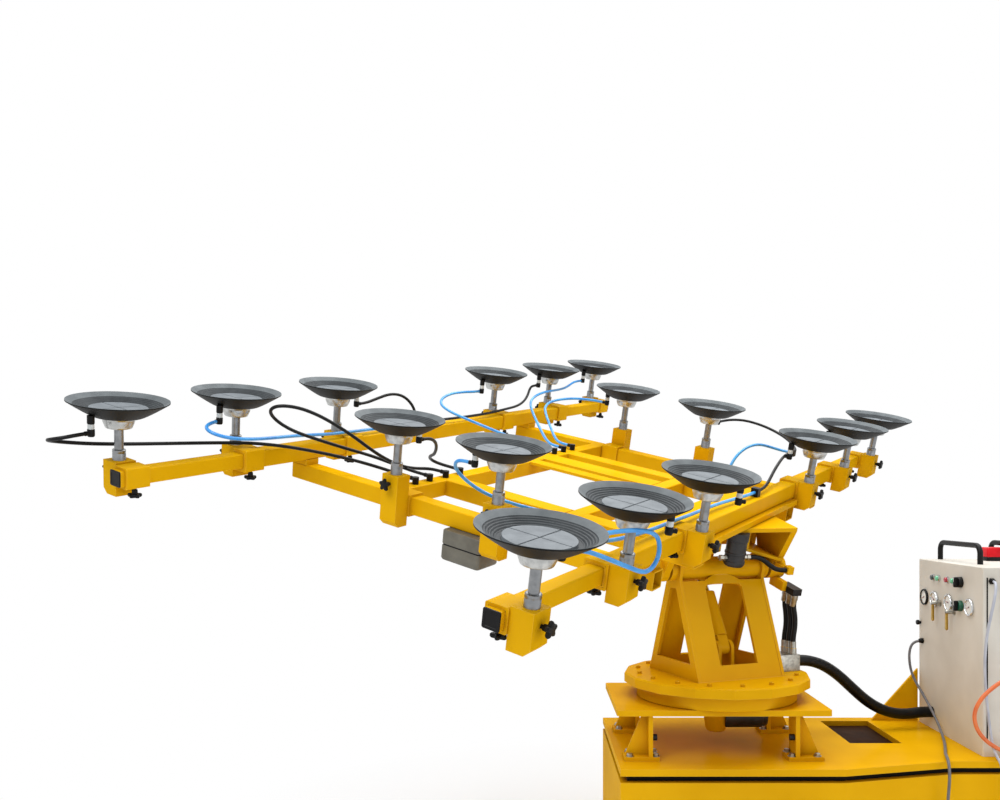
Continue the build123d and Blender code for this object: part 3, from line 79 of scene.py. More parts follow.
def second_tone(owner, value, span, amount, under, over):
    """A colour laid over another: its share runs through amount while the value runs through span."""
    ends = {"From Min": span[0], "From Max": span[1], "To Min": amount[0], "To Max": amount[1]}
    share = add(owner, "MapRange", {"Value": value, **ends}).outputs["Result"]
    return add(owner, "MixRGB", {"Fac": share, "Color1": under, "Color2": over}).outputs["Color"]


# A cloud's noise lies mostly between the first two values, and its light tone goes from none to full.
CLOUD_SPAN = (0.35, 0.65)
NONE_TO_FULL = (0.0, 1.0)


def surface(name, dark, light, patch, grit, depth, rough, metal=0.0, shine=0.5, clear=0.0, haze=0.03):
    """A finish of two tones in clouds of patch metres, with a bump of grit metres and that depth.

    Shine is the strength of its mirror, clear that of a clear coat over it, and haze the coat's roughness.
    A real grain under 1 mm is too fine to show in the render, so it is drawn at 1 mm or more.
    """
    material = bpy.data.materials.new(name)
    material.use_nodes = True
    shader = material.node_tree.nodes["Principled BSDF"]
    shader.inputs["Roughness"].default_value = rough
    shader.inputs["Metallic"].default_value = metal
    shader.inputs["Specular IOR Level"].default_value = shine
    shader.inputs["Coat Weight"].default_value = clear
    shader.inputs["Coat Roughness"].default_value = haze
    place = add(material, "TexCoord").outputs["Object"]
    cloud = add(material, "TexNoise", {"Vector": place, "Scale": 1 / patch, "Detail": 4.0})
    clouds = cloud.outputs["Fac"]
    tone = second_tone(material, clouds, CLOUD_SPAN, NONE_TO_FULL, linear(dark), linear(light))
    grain = add(material, "TexNoise", {"Vector": place, "Scale": 1 / grit, "Detail": 2.0})
    bump = add(material, "Bump", {"Height": grain.outputs["Fac"], "Distance": depth})
    material.node_tree.links.new(tone, shader.inputs["Base Color"])
    material.node_tree.links.new(bump.outputs["Normal"], shader.inputs["Normal"])
    return material


def coat(material, *names):
    """Give CAD nodes a finish."""
    for name in names:
        nodes[name].data.materials.clear()
        nodes[name].data.materials.append(material)


# Two-pack enamel over welded steel: a deep warm yellow whose gloss comes from a thin clear coat, so
# it keeps its colour. Painted shade darkens it in the corners, and a painted highlight makes it
# paler along the edges.
yellow_enamel = surface(
    "yellow_machinery_enamel", "#dfa708", "#e7b00d", 0.22, 0.006, 0.00012, 0.38,
    shine=0.0, clear=0.08, haze=0.2,
)
enamel_shader = yellow_enamel.node_tree.nodes["Principled BSDF"]
enamel_tone = enamel_shader.inputs["Base Color"].links[0].from_socket
# Painted shade, dark brown, where occlusion is deep in corners; a painted highlight, pale yellow, along
# convex edges.
for inside, reach, span, amount, colour in (
    (False, 0.05, (0.25, 0.8), (0.55, 0.0), "#8a5206"),
    (True, 0.0035, (0.3, 0.75), (0.35, 0.0), "#f0cf6a"),
):
    hidden = add(yellow_enamel, "AmbientOcclusion", {"Distance": reach}, {"samples": 4, "inside": inside})
    openness = hidden.outputs["AO"]
    enamel_tone = second_tone(yellow_enamel, openness, span, amount, enamel_tone, linear(colour))
yellow_enamel.node_tree.links.new(enamel_tone, enamel_shader.inputs["Base Color"])
coat(yellow_enamel, "chassis", "deck_plate", "platform", "stanchions")

# Grey iron, sand cast, with a coarse skin.
cast_iron = surface("cast_grey_iron", "#4a4b4c", "#5c5d5e", 0.05, 0.004, 0.0004, 0.7, metal=0.6)
coat(cast_iron, "ballast_block")

# Black sheet, dull and slightly dusty: in the shadow gap it is painted shade, a dark line, and on the
# cabinet a rubber seal.
black_seal_and_painted_shade = surface("black_seal_and_painted_shade_sheet", "#0a0a0a", "#141413", 0.06, 0.002, 0.0002, 0.75, shine=0.15)

# A thin board at the bottom of the hatch, dark reddish brown with a low sheen: painted shade for the deep
# opening.
hatch_painted_shade = surface("hatch_painted_shade_board", "#2a170a", "#362010", 0.05, 0.003, 0.0002, 0.6, shine=0.03)


def stack(outline, levels):
    """Levels of one outline: point (i, j) is outline point j times scale i, at height i."""
    scale, height = np.array(levels, float).T
    grid = np.empty((len(scale), len(outline), 3))
    grid[..., :2] = scale[:, None, None] * outline
    grid[..., 2] = height[:, None]
    return grid


def arc(radius, first, last, steps):
    """Points on part of a circle: radius times (cos, sin) of angles from first to last."""
    angle = np.linspace(first, last, steps)
    return radius * np.stack([np.cos(angle), np.sin(angle)], -1)


def plate(width, depth, corner, steps=5):
    """A rounded rectangle: four quarter circles about corner centres, joined in turn."""
    quarter = arc(corner, 0, np.pi / 2, steps)
    spin = np.array([[0.0, 1.0], [-1.0, 0.0]])
    centre = np.array([width / 2 - corner, depth / 2 - corner])
    corners = []
    for i, side in enumerate(((1, 1), (-1, 1), (-1, -1), (1, -1))):
        corners.append(centre * side + quarter @ np.linalg.matrix_power(spin, i))
    return np.concatenate(corners)


def stand(grid, origin, axes):
    """Points put in the real piece's place: the origin plus x, y and z times the three axes."""
    return np.asarray(origin) + grid @ np.asarray(axes)


def put(name, data):
    """Add an object to the scene."""
    thing = bpy.data.objects.new(name, data)
    bpy.context.scene.collection.objects.link(thing)
    return thing


# Edges that turn by more than this stay sharp. Below it, the origin and axes that a body's pieces are
# drawn in: a body that isn't named in places uses the machine's own.
SHARP = np.radians(35)
MACHINE = ((0, 0, 0), np.eye(3))
places = {}


def shape(name, patches, materials, body, replaced=()):
    """One mesh from grids of points: each grid's columns close on themselves, and neighbours make faces."""
    origin, axes = places.get(body, MACHINE)
    points, faces, finishes = [], [], []
    start = 0
    for grid, finish in patches:
        rows, columns = grid.shape[:2]
        index = start + np.arange(rows * columns).reshape(rows, columns)
        beside = np.roll(index, -1, axis=1)
        quads = np.stack([index[:-1], beside[:-1], beside[1:], index[1:]], -1).reshape(-1, 4)
        points.append(stand(grid, origin, axes).reshape(-1, 3))
        faces.append(quads)
        finishes.append(np.full(len(quads), finish))
        start += rows * columns
    mesh = bpy.data.meshes.new(name)
    mesh.from_pydata(np.concatenate(points).tolist(), [], np.concatenate(faces).tolist())
    for material in materials:
        mesh.materials.append(material)
    mesh.polygons.foreach_set("material_index", np.concatenate(finishes))
    shell = bmesh.new()
    shell.from_mesh(mesh)
    bmesh.ops.remove_doubles(shell, verts=shell.verts, dist=1e-6)
    bmesh.ops.dissolve_degenerate(shell, edges=shell.edges, dist=1e-7)
    bmesh.ops.recalc_face_normals(shell, faces=shell.faces)
    shell.to_mesh(mesh)
    shell.free()
    mesh.shade_smooth()
    mesh.set_sharp_from_angle(angle=SHARP)
    piece = put(name, mesh)
    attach(piece, body)
    if replaced:
        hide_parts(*replaced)


# The board lies on the hatch floor as painted shade.
BOARD_W, BOARD_D, BOARD_CORNER = 0.188, 0.348, 0.004
HATCH_FLOOR = (0.585, 0.165, 0.5371)
board_side = ((0, 0), (0.99, 0), (1, 0.001), (1, 0.003), (0.985, 0.004), (0, 0.004))
board = stack(plate(BOARD_W, BOARD_D, BOARD_CORNER), board_side) + HATCH_FLOOR
shape("hatch_board", [(board, 0)], [hatch_painted_shade], "base")

# The strip in the shadow gap is painted shade: a black wall that follows the deck's outline, 24 mm in from
# the edge.
GAP_LOW, GAP_HIGH, GAP_INSIDE = 0.516, 0.536, 0.99
gap_line = np.array(
    [(-0.358, -0.325), (0.356, -0.325), (0.754, -0.225), (1.265, -0.225), (1.265, 0.375), (-0.358, 0.375)]
)
gap_levels = ((1, GAP_LOW), (1, GAP_HIGH), (GAP_INSIDE, GAP_HIGH), (GAP_INSIDE, GAP_LOW), (1, GAP_LOW))
shape("gap_strip", [(stack(gap_line, gap_levels), 0)], [black_seal_and_painted_shade], "base")

# Slewing ring, gearmotor and turntable
# The ring is a bought-in bearing bolted to the platform, painted over with the turntable and its
# screws. The gearmotor hangs through the platform, and hexagon bolts hold the stanchions.
coat(yellow_enamel, "slewing_ring", "turntable")

# Zinc-plated steel: dull silver with a faint yellow tint, so small screws catch the light.
zinc_steel = surface("zinc_plated_steel", "#8f8d86", "#b3b0a6", 0.01, 0.001, 0.00005, 0.38, metal=1.0)

# Black oxide on steel: nearly black, with a dull oily sheen on the bolt heads.
black_oxide = surface("black_oxide_steel", "#232324", "#323233", 0.01, 0.001, 0.00005, 0.42, metal=0.8)
coat(black_oxide, "stanchion_bolts")

# Black paint on cast iron: dark and half matt, with the grain of the sand showing through.
black_casting = surface("black_painted_casting", "#17181a", "#26272a", 0.03, 0.003, 0.0002, 0.45)


def circle(steps, radius=1.0, turn=0.0):
    """Points evenly round a circle: radius times (cos, sin) of angles that start at turn."""
    angle = turn + np.linspace(0, 2 * np.pi, steps, endpoint=False)
    return radius * np.stack([np.cos(angle), np.sin(angle)], -1)


def lathe(steps, side):
    """A side view of (radius, height) points turned about the upright axis, in so many steps."""
    return stack(circle(steps), side)


def turned(degrees):
    """Axes turned about the upright one: x goes to (cos, sin, 0) and y to (-sin, cos, 0)."""
    c, s = np.cos(np.radians(degrees)), np.sin(np.radians(degrees))
    return np.array([[c, s, 0], [-s, c, 0], [0, 0, 1]])


SLEW = 22.15
places["tower"] = (np.array(joints["slew"]["pos_m"]), turned(SLEW))
screw_side = (
    (0, 0), (0.008, 0), (0.008, 0.008), (0.007, 0.009), (0.0042, 0.009), (0.004, 0.005), (0, 0.005),
)
screw = lathe(12, screw_side)
SCREWS, SCREW_RING_R, SCREW_TURN = 16, 0.286, 0.13
screw_spots = np.c_[circle(SCREWS, SCREW_RING_R, SCREW_TURN), np.zeros(SCREWS)]
screws = [(screw + spot, 0) for spot in screw_spots]
shape("turntable_screws", screws, [yellow_enamel], "tower")

FOOT_MID = np.array((-0.020, -0.014, 0.574))
FOOT_X, FOOT_Y = 0.280, 0.195
FOOT_SCREW_X, FOOT_SCREW_Y = (-0.040, 0.048), (-0.030, 0.030)
foot_washer = lathe(20, ((0, 0), (0.0135, 0), (0.0135, 0.0025), (0, 0.0025)))
foot_side = ((0, 0.0025), (0.0105, 0.0025), (0.0105, 0.0095), (0.009, 0.0105), (0, 0.0105))
foot_hexagon = lathe(6, foot_side)
foot_screws = []
for s, t, x, y in product((1, -1), (1, -1), FOOT_SCREW_X, FOOT_SCREW_Y):
    foot = FOOT_MID + (s * (FOOT_X - x), t * FOOT_Y + y, 0)
    foot_screws += [(foot_washer + foot, 0), (foot_hexagon + foot, 0)]
shape("foot_screws", foot_screws, [zinc_steel], "base")

gearbox_side = (
    (0, 0.735), (0.052, 0.735), (0.052, 0.715), (0.0740, 0.715), (0.0748, 0.7142), (0.0748, 0.7042),
    (0.0740, 0.7034), (0.0502, 0.7034), (0.0372, 0.6190), (0.0345, 0.6090), (0.0290, 0.6055), (0, 0.6055),
)
drive_side = (
    (0, 0.030), (0.042, 0.030), (0.042, 0.164), (0.0375, 0.166), (0.0375, 0.178), (0.033, 0.1847),
    (0, 0.1847),
)
DRIVE_Z = 0.659
to_right = np.array([[0, 1, 0], [0, 0, 1], [1, 0, 0]])
gear_parts = [
    (lathe(48, gearbox_side), 0),
    (stand(lathe(40, drive_side), (0, 0, DRIVE_Z), to_right), 1),
]
gear_finishes = [yellow_enamel, black_casting]
shape("slewing_drive", gear_parts, gear_finishes, "base", ["slewing_gearmotor"])


# Tower
# The tower is a trestle of flame-cut plates with tall windows, welded round a hinge tube. A steel
# block beside it takes the hydraulic lines, and the conduit to the cabinet starts there.
def prism(outline, low, high):
    """An outline drawn out from one height to another, both ends closed towards its middle."""
    outline = np.asarray(outline, float)
    middle = outline.mean(axis=0)
    return stack(outline - middle, ((0, low), (1, low), (1, high), (0, high))) + (*middle, 0)


def window_plate(outer, inner, low, high):
    """A plate with an opening: two outlines of as many points, joined over both faces and both edges."""
    rows = ((outer, low), (outer, high), (inner, high), (inner, low), (outer, low))
    return np.stack([np.c_[line, np.full(len(line), height)] for line, height in rows])


SLOPE_SIN, SLOPE_COS = 0.3451, 0.9386
TOWER_Y = 0.170
HINGE_Z = 0.382
LEG_X = 0.168
LEG_TOP = 0.362
SILL_TOP = 0.055
LEG_SKIN = (-0.0135, -0.0015)
SIDE_SKIN = (LEG_X, 0.180)
BACK_SILL_W = 0.130
BACK_LEG_W, BACK_LEG_X = 0.103, 0.1165
CUT_EDGE = 0.001
TUBE_R, TUBE_END = 0.042, 0.205
BORE_R, BORE_END = 0.0256, 0.190
arch_turn = np.linspace(-1, 1, 9)
front_arch = np.stack([-0.075 * arch_turn, 0.388 - 0.026 * arch_turn**2], -1)
front_outer = np.concatenate([[(-LEG_X, 0), (LEG_X, 0), (LEG_X, LEG_TOP)], front_arch, [(-LEG_X, LEG_TOP)]])
front_feet = [(-0.078, SILL_TOP), (0.078, SILL_TOP), (0.078, 0.335)]
inner_arch = np.stack([-0.070 * arch_turn, 0.351 - 0.005 * arch_turn**4], -1)
front_inner = np.concatenate([front_feet, inner_arch, [(-0.078, 0.335)]])
side_head = arc(0.053, np.radians(-32), np.radians(212), 13) + (0, HINGE_Z)
side_outer = np.concatenate([[(-TOWER_Y, 0), (TOWER_Y, 0), (0.045, 0.340)], side_head, [(-0.045, 0.340)]])
side_feet = [(-0.116, SILL_TOP), (0.116, SILL_TOP), (0.022, 0.308)]
side_top = np.stack([np.linspace(0.019, -0.019, 13), np.full(13, 0.313)], -1)
side_inner = np.concatenate([side_feet, side_top, [(-0.022, 0.308)]])
side_plate = window_plate(side_outer, side_inner, *SIDE_SKIN)
front_axes = np.array([[1, 0, 0], [0, SLOPE_SIN, SLOPE_COS], [0, -SLOPE_COS, SLOPE_SIN]])
back_axes = front_axes * (1, -1, 1)
tube_side = ((TUBE_R, -TUBE_END), (TUBE_R, TUBE_END), (BORE_R, TUBE_END), (BORE_R, BORE_END))
hinge_tube = lathe(48, tube_side)
hinge_tube_end = lathe(48, ((TUBE_R, -TUBE_END), (BORE_R, -TUBE_END), (BORE_R, -BORE_END)))
tower_parts = [stand(window_plate(front_outer, front_inner, *LEG_SKIN), (0, -TOWER_Y, 0), front_axes)]
tower_parts += [stand(grid, (0, 0, HINGE_Z), to_right) for grid in (hinge_tube, hinge_tube_end)]
back_sill = plate(BACK_SILL_W, SILL_TOP, CUT_EDGE) + (0, SILL_TOP / 2)
tower_parts.append(stand(prism(back_sill, *LEG_SKIN), (0, TOWER_Y, 0), back_axes))
for side in (1, -1):
    tower_parts.append(stand(side_plate, (0, 0, 0), to_right * (side, 1, 1)))
    back_leg = plate(BACK_LEG_W, LEG_TOP, CUT_EDGE) + (side * BACK_LEG_X, LEG_TOP / 2)
    tower_parts.append(stand(prism(back_leg, *LEG_SKIN), (0, TOWER_Y, 0), back_axes))
tower_patches = [(grid, 0) for grid in tower_parts]
shape("tower_trestle", tower_patches, [yellow_enamel], "tower", ["tower_frame"])

BLOCK_W, BLOCK_D, BLOCK_CORNER = 0.121, 0.093, 0.002
BLOCK_X, BLOCK_Y = 0.240, -0.054
block_side = ((0.99, 0.0004), (1, 0.001), (1, 0.0596), (0.985, 0.0606), (0, 0.0606))
block = stack(plate(BLOCK_W, BLOCK_D, BLOCK_CORNER), block_side) + (BLOCK_X, BLOCK_Y, 0)
shape("hydraulic_block", [(block, 0)], [zinc_steel], "tower")

# Tilt cylinder
# A hydraulic cylinder, its barrel painted with the rest, pushes on the yoke's fork with a hard
# chromed and ground rod.
coat(yellow_enamel, "tilt_cylinder_barrel")

# Hard chrome, ground: a bright mirror with very fine marks round the rod.
hard_chrome = surface("ground_hard_chrome", "#b9bcc0", "#d5d8da", 0.02, 0.0012, 0.00003, 0.16, metal=1.0)
coat(hard_chrome, "tilt_cylinder_rod", "hinge_pin")

# Yoke and rotator
# The yoke is a plate on two box-shaped cheeks, welded from plate and open at the front, that turn on
# the hinge pin. The rotator's ground ring lies between it and the plate under the suction frame.
normal = np.array(joints["rotator"]["axis"])
head_x = np.array(joints["tilt"]["axis"])
head_axes = np.array([head_x, np.cross(normal, head_x), normal])
places["head"] = (np.array(joints["tilt"]["pos_m"]), head_axes)
YOKE_W, YOKE_D, YOKE_SKIN = 0.486, 0.228, 0.015
YOKE_TOP = 0.172
YOKE_FRONT, YOKE_BACK = -0.086, 0.110
CHEEK_IN, CHEEK_OUT = 0.216, 0.242
LUG_IN, LUG_OUT = 0.022, 0.034
BOSS_R, BOSS_BORE = 0.044, 0.0254
cheek = np.concatenate([arc(BOSS_R, -np.pi, 0, 17), [(0.112, YOKE_TOP), (-0.112, YOKE_TOP)]])
rib = ((YOKE_FRONT, 0.096), (YOKE_BACK, 0.096), (YOKE_BACK, YOKE_TOP), (YOKE_FRONT, YOKE_TOP))
back = ((0.098, 0.056), (YOKE_BACK, 0.056), (YOKE_BACK, YOKE_TOP), (0.098, YOKE_TOP))
shelf = ((0.052, 0.094), (0.218, 0.050), (0.218, 0.060), (0.052, 0.104))
lug_bar = ((0.0743, -0.025), (0.1163, -0.025), (0.1163, YOKE_TOP), (0.0743, YOKE_TOP))
boss_side = ((BOSS_R, CHEEK_OUT), (BOSS_R, 0.280), (0.042, 0.282), (BOSS_BORE, 0.282), (BOSS_BORE, 0.276))
boss = lathe(40, boss_side)
eye_side = ((0.035, LUG_IN), (0.035, LUG_OUT), (0.021, LUG_OUT), (0.021, LUG_IN), (0.035, LUG_IN))
lug_eye = lathe(40, eye_side) + (0.0953, -0.055, 0)
half_yoke = (
    prism(cheek, CHEEK_IN, CHEEK_OUT),
    boss,
    prism(rib, 0.052, 0.064),
    prism(back, 0.054, 0.230),
    prism(lug_bar, LUG_IN, LUG_OUT),
    lug_eye,
)
yoke_parts = [(prism(plate(YOKE_W, YOKE_D, 0.004), YOKE_TOP, YOKE_TOP + YOKE_SKIN), 0)]
for side in (1, -1):
    yoke_parts += [(stand(grid, (0, 0, 0), to_right * (side, 1, 1)), 0) for grid in half_yoke]
    shelf_axes = ((side, 0, 0), (0, 0, 1), (0, 1, 0))
    yoke_parts.append((stand(prism(shelf, YOKE_FRONT, YOKE_BACK), (0, 0, 0), shelf_axes), 0))

# The port block of the hydraulic hoses with its bracket, and the block and arm for the motor's hose.
for outline, low, high, finish in (
    (plate(0.040, 0.086, 0.003) + (0.281, -0.090), -0.070, -0.046, 1),
    (plate(0.020, 0.080, 0.002) + (0.252, -0.050), -0.066, -0.030, 0),
    (plate(0.026, 0.028, 0.002) + (0.229, -0.124), 0.016, 0.044, 0),
    (plate(0.026, 0.080, 0.002) + (0.229, -0.084), 0.023, 0.037, 0),
):
    yoke_parts.append((prism(outline, low, high), finish))
shape("yoke_weldment", yoke_parts, [yellow_enamel, black_oxide], "head", ["tilt_yoke"])
ring_side = ((0, 0.187), (0.109, 0.187), (0.110, 0.1875), (0.110, 0.189), (0.109, 0.1895), (0, 0.1895))
lower_ring = [(lathe(72, ring_side), 0)]
shape("rotator_lower_ring", lower_ring, [hard_chrome], "head", ["rotator_ring"])

# Suction frame
# Square tubes welded as a ladder carry two cross-beams; the arms slide in the beams, and a clamp
# bracket holds each cup's post.
coat(yellow_enamel, "ladder", "bridge_bars", "cross_beams", "cup_brackets")
coat(yellow_enamel, "arm_near_left", "arm_near_right", "arm_far_left", "arm_far_right")

ROTATOR_X = 0.657
along = np.array(joints["arm_near_right_slide"]["axis"])
across = np.cross(along, normal)
frame_origin = np.array(joints["rotator"]["pos_m"]) - ROTATOR_X * across
places["suction_frame"] = (frame_origin, np.array([across, along, normal]))
TURN_W, TURN_LENGTH, TURN_X = 0.250, 0.941, 0.645
TURN_SKIN = (-0.050, -0.0299)
turn_parts = [(prism(plate(TURN_W, TURN_LENGTH, 0.004) + (TURN_X, 0), *TURN_SKIN), 0)]
shape("rotator_frame_plate", turn_parts, [yellow_enamel], "suction_frame", ["turn_plate"])

# Star knobs and plugs
# Five-lobed clamping knobs and push-in tube plugs, moulded in black glass-filled nylon, which looks
# nearly black with a soft, low shine.
black_nylon = surface("moulded_black_nylon", "#060607", "#0e0e0f", 0.02, 0.0012, 0.00006, 0.45, shine=0.2)
BEAM_X = 0.718
POST_X = 0.786
INNER, MIDDLE, OUTER = 0.520, 1.005, 1.450
RAIL_POST_X, RAIL_POST_Y = 0.214, 0.799
KNOB_OUT = 0.030
UNDER_X, UNDER_Z = 0.703, -0.0382
ARM_UNDER_X, ARM_UNDER_Z = 0.7055, -0.0332
PLUG_OUT = 0.055

# The star's radius waves five times round the circle.
LOBES = 5
STAR_STEPS = 60
star_turn = np.linspace(0, 2 * np.pi, STAR_STEPS, endpoint=False)
star = (0.81 + 0.19 * np.cos(LOBES * star_turn))[:, None] * circle(STAR_STEPS)
head_side = (
    (0, 0.0195), (0.012, 0.0195), (0.0195, 0.0205), (0.0219, 0.0235), (0.0219, 0.0285),
    (0.0195, 0.0315), (0.013, 0.0328), (0, 0.033),
)
neck_side = ((0, 0.0), (0.0055, 0.0), (0.0055, 0.007), (0.0085, 0.008), (0.0095, 0.021), (0, 0.021))
knob_head = stack(star, head_side)
knob_neck = lathe(20, neck_side)


def clamp_knob(spot, direction):
    """A knob's patches, its stem starting at a spot of the suction frame and pointing along one axis."""
    out = np.array(direction, float)
    side = np.array((0.0, 0.0, 1.0)) if abs(out[2]) < 0.5 else np.array((1.0, 0.0, 0.0))
    axes = np.array([side, np.cross(out, side), out])
    return [(stand(grid, spot, axes), 0) for grid in (knob_neck, knob_head)]


bracket_knobs = []
for s, t in product((1, -1), (1, -1)):
    for y in (INNER, MIDDLE):
        bracket_knobs += clamp_knob((s * (POST_X + KNOB_OUT), t * y, 0), (s, 0, 0))
        bracket_knobs += clamp_knob((s * UNDER_X, t * y, UNDER_Z), (0, 0, -1))
    bracket_knobs += clamp_knob((s * RAIL_POST_X, t * (RAIL_POST_Y + KNOB_OUT), 0), (0, t, 0))
knob_nodes = ["bracket_knobs"]
shape("bracket_star_knobs", bracket_knobs, [black_nylon], "suction_frame", knob_nodes)

plug_side = (
    (0, -0.02), (0.82, -0.02), (0.82, 0), (0.99, 0), (1, 0.001), (1, 0.003), (0.96, 0.004),
    (0.72, 0.004), (0.68, 0.003), (0, 0.003),
)
plug_face = stack(plate(0.050, 0.050, 0.005), plug_side)
for (s, side), (t, end) in product(((1, "near"), (-1, "far")), ((-1, "left"), (1, "right"))):
    arm = f"arm_{side}_{end}"
    plug_axes = np.array([[t, 0, 0], [0, 0, -1], [0, t, 0]])
    trim = [(stand(plug_face, (s * BEAM_X, t * (OUTER + PLUG_OUT), 0), plug_axes), 0)]
    trim += clamp_knob((s * (POST_X + KNOB_OUT), t * OUTER, 0), (s, 0, 0))
    trim += clamp_knob((s * ARM_UNDER_X, t * OUTER, ARM_UNDER_Z), (0, 0, -1))
    places[arm] = places["suction_frame"]
    shape(f"{arm}_plug_and_knobs", trim, [black_nylon], arm, [f"{arm}_trim"])

# Suction cups
# Each cup is a moulded rubber dish with a ribbed sealing zone and a cross-cut centre pad. A turned
# aluminium hub holds it on a steel post, and a stop valve hangs under the dish.

# Nitrile rubber, near black in the ribs. The lip and the pad are painted paler, partly with dust and partly
# with painted sheen, and the underside is painted near black as painted shade.
rubber_lip_dust_and_painted_sheen = surface("nitrile_rubber_lip_dust_and_painted_sheen", "#5a6063", "#6a7073", 0.05, 0.003, 0.0002, 0.55, shine=0.18)
rubber_ribs = surface("nitrile_rubber_ribs", "#2c3033", "#3a3f42", 0.05, 0.003, 0.0002, 0.55, shine=0.18)
rubber_pad_dust_and_painted_sheen = surface("nitrile_rubber_pad_dust_and_painted_sheen", "#686e73", "#787e83", 0.04, 0.003, 0.0003, 0.55, shine=0.18)
rubber_under_painted_shade = surface(
    "nitrile_rubber_underside_painted_shade", "#060707", "#0c0d0d", 0.05, 0.003, 0.0002, 0.55, shine=0.18
)

# Turned aluminium and drawn steel: satin metal, the hub paler than the post. The valve's bowl is
# polycarbonate, a pale glint between two black ends.
turned_aluminium = surface("turned_aluminium", "#a9aaa9", "#c6c7c5", 0.015, 0.001, 0.00004, 0.32, metal=1.0)
post_steel = surface("drawn_steel_post", "#7f8184", "#949698", 0.02, 0.001, 0.00004, 0.32, metal=1.0)
clear_bowl = surface("clear_polycarbonate", "#c9cfd0", "#dde2e2", 0.02, 0.003, 0.00003, 0.15)

FOOT = 0.176
CUP_R, LIP_R, PAD_R = 0.150, 0.130, 0.086
RIM = FOOT + 0.049
RIBS, RIB_DEPTH = 5, 0.0013
GROOVE = 0.0016
VALVE_R, VALVE_Z, SPIGOT = 0.104, 0.137, 0.022
rise = np.linspace(0, 1, 14)
cone = np.stack([0.074 + 0.076 * rise, FOOT + 0.046 * rise**1.12], -1)
under_side = np.concatenate([[(0, FOOT), (0.07, FOOT)], cone, [(CUP_R, RIM)]])
lip_turn = np.linspace(0, 1, 8)
lip_band = np.stack([CUP_R - 0.020 * lip_turn, FOOT + 0.050 - 0.0123 * lip_turn**1.1], -1)
lip_side = np.concatenate([[(CUP_R, RIM)], lip_band])

# The ribs are a zigzag on the slope from the lip down to the floor of the dish.
ribs_run = np.linspace(0, 1, 61)
ribs_wave = RIB_DEPTH * (np.abs((ribs_run * RIBS) % 1 - 0.5) * 2 - 0.5)
ribs_zone = np.stack([LIP_R - 0.032 * ribs_run, FOOT + 0.0377 - 0.0197 * ribs_run + ribs_wave], -1)
dish_floor = [(0.098, FOOT + 0.018), (0.06, FOOT + 0.0178), (0, FOOT + 0.0178)]
ribs_side = np.concatenate([[lip_band[-1]], ribs_zone[1:], dish_floor])
hub_side = np.array([
    (0, 0.002), (0.052, 0.002), (0.052, -0.004), (0.0505, -0.006), (0.047, -0.010), (0.047, -0.016),
    (0.0415, -0.030), (0.040, -0.034), (0.038, -0.036), (0, -0.036),
])
rod_side = ((0, FOOT - 0.034), (0.014, FOOT - 0.034), (0.014, 0.070), (0, 0.070))
sleeve_side = (
    (0, 0.072), (0.0165, 0.072), (0.0185, 0.0715), (0.020, 0.070), (0.020, 0.062), (0.0195, 0.061),
    (0.0195, 0.059), (0.020, 0.058), (0.020, -0.022), (0, -0.022),
)
dish = [
    (lathe(96, under_side), 3),
    (lathe(96, lip_side), 0),
    (lathe(96, ribs_side), 1),
    (lathe(48, hub_side + (0, FOOT)), 4),
    (lathe(32, rod_side), 5),
    (lathe(40, sleeve_side), 5),
]

# A quarter of the pad: an arc between the two grooves and its corner near the middle.
groove_turn = np.arcsin(GROOVE / PAD_R)
pad_arc = arc(PAD_R, groove_turn, np.pi / 2 - groove_turn, 22)
quarter_line = np.concatenate([[(GROOVE, GROOVE)], pad_arc])
quarter_mid = np.array([0.038, 0.038])
quarter_side = ((0, 0.0178), (1, 0.0178), (1, 0.0262), (0.985, 0.027), (0, 0.027))
quarter_pad = stack(quarter_line - quarter_mid, quarter_side) + (*quarter_mid, FOOT)
dish += [(quarter_pad @ turned(90 * i), 2) for i in range(4)]

valve_cap = ((0, 0.190), (0.011, 0.190), (0.011, 0.166), (0.0095, 0.164), (0, 0.164))
valve_bowl = ((0, 0.166), (0.0092, 0.166), (0.0098, 0.160), (0.0098, 0.150), (0.0092, 0.147), (0, 0.147))
valve_base = ((0, 0.149), (0.0098, 0.149), (0.011, 0.147), (0.011, 0.129), (0.009, 0.1255), (0, 0.1255))
spigot_side = (
    (0, 0.006), (0.0073, 0.006), (0.0073, 0.012), (0.006, 0.0125), (0.006, 0.016), (0.0073, 0.0165),
    (0.0073, SPIGOT), (0, SPIGOT),
)
valve_sides = ((valve_cap, 6), (valve_bowl, 7), (valve_base, 6))
valve_parts = [(lathe(24, side), finish) for side, finish in valve_sides]
spigot_axes = np.array([[0, 0, 1], [0, 1, 0], [1, 0, 0]])
valve_parts.append((stand(lathe(16, spigot_side), (0, 0, VALVE_Z), spigot_axes), 6))

# Each cup's place on the frame, and the way its valve faces in degrees.
CUP_ROWS = (
    (-POST_X, -OUTER, 280), (-POST_X, -MIDDLE, 290), (-POST_X, -INNER, 90),
    (-RAIL_POST_X, -RAIL_POST_Y, 90), (RAIL_POST_X, -RAIL_POST_Y, 180),
    (-POST_X, INNER, 270), (-POST_X, MIDDLE, 270), (-POST_X, OUTER, 270),
    (-RAIL_POST_X, RAIL_POST_Y, 180), (RAIL_POST_X, RAIL_POST_Y, 90),
    (POST_X, INNER, 225), (POST_X, MIDDLE, 225), (POST_X, OUTER, 225),
    (POST_X, -INNER, 45), (POST_X, -MIDDLE, 45), (POST_X, -OUTER, 90),
)
CUPS = {f"cup_{number:02}": row for number, row in enumerate(CUP_ROWS, 1)}
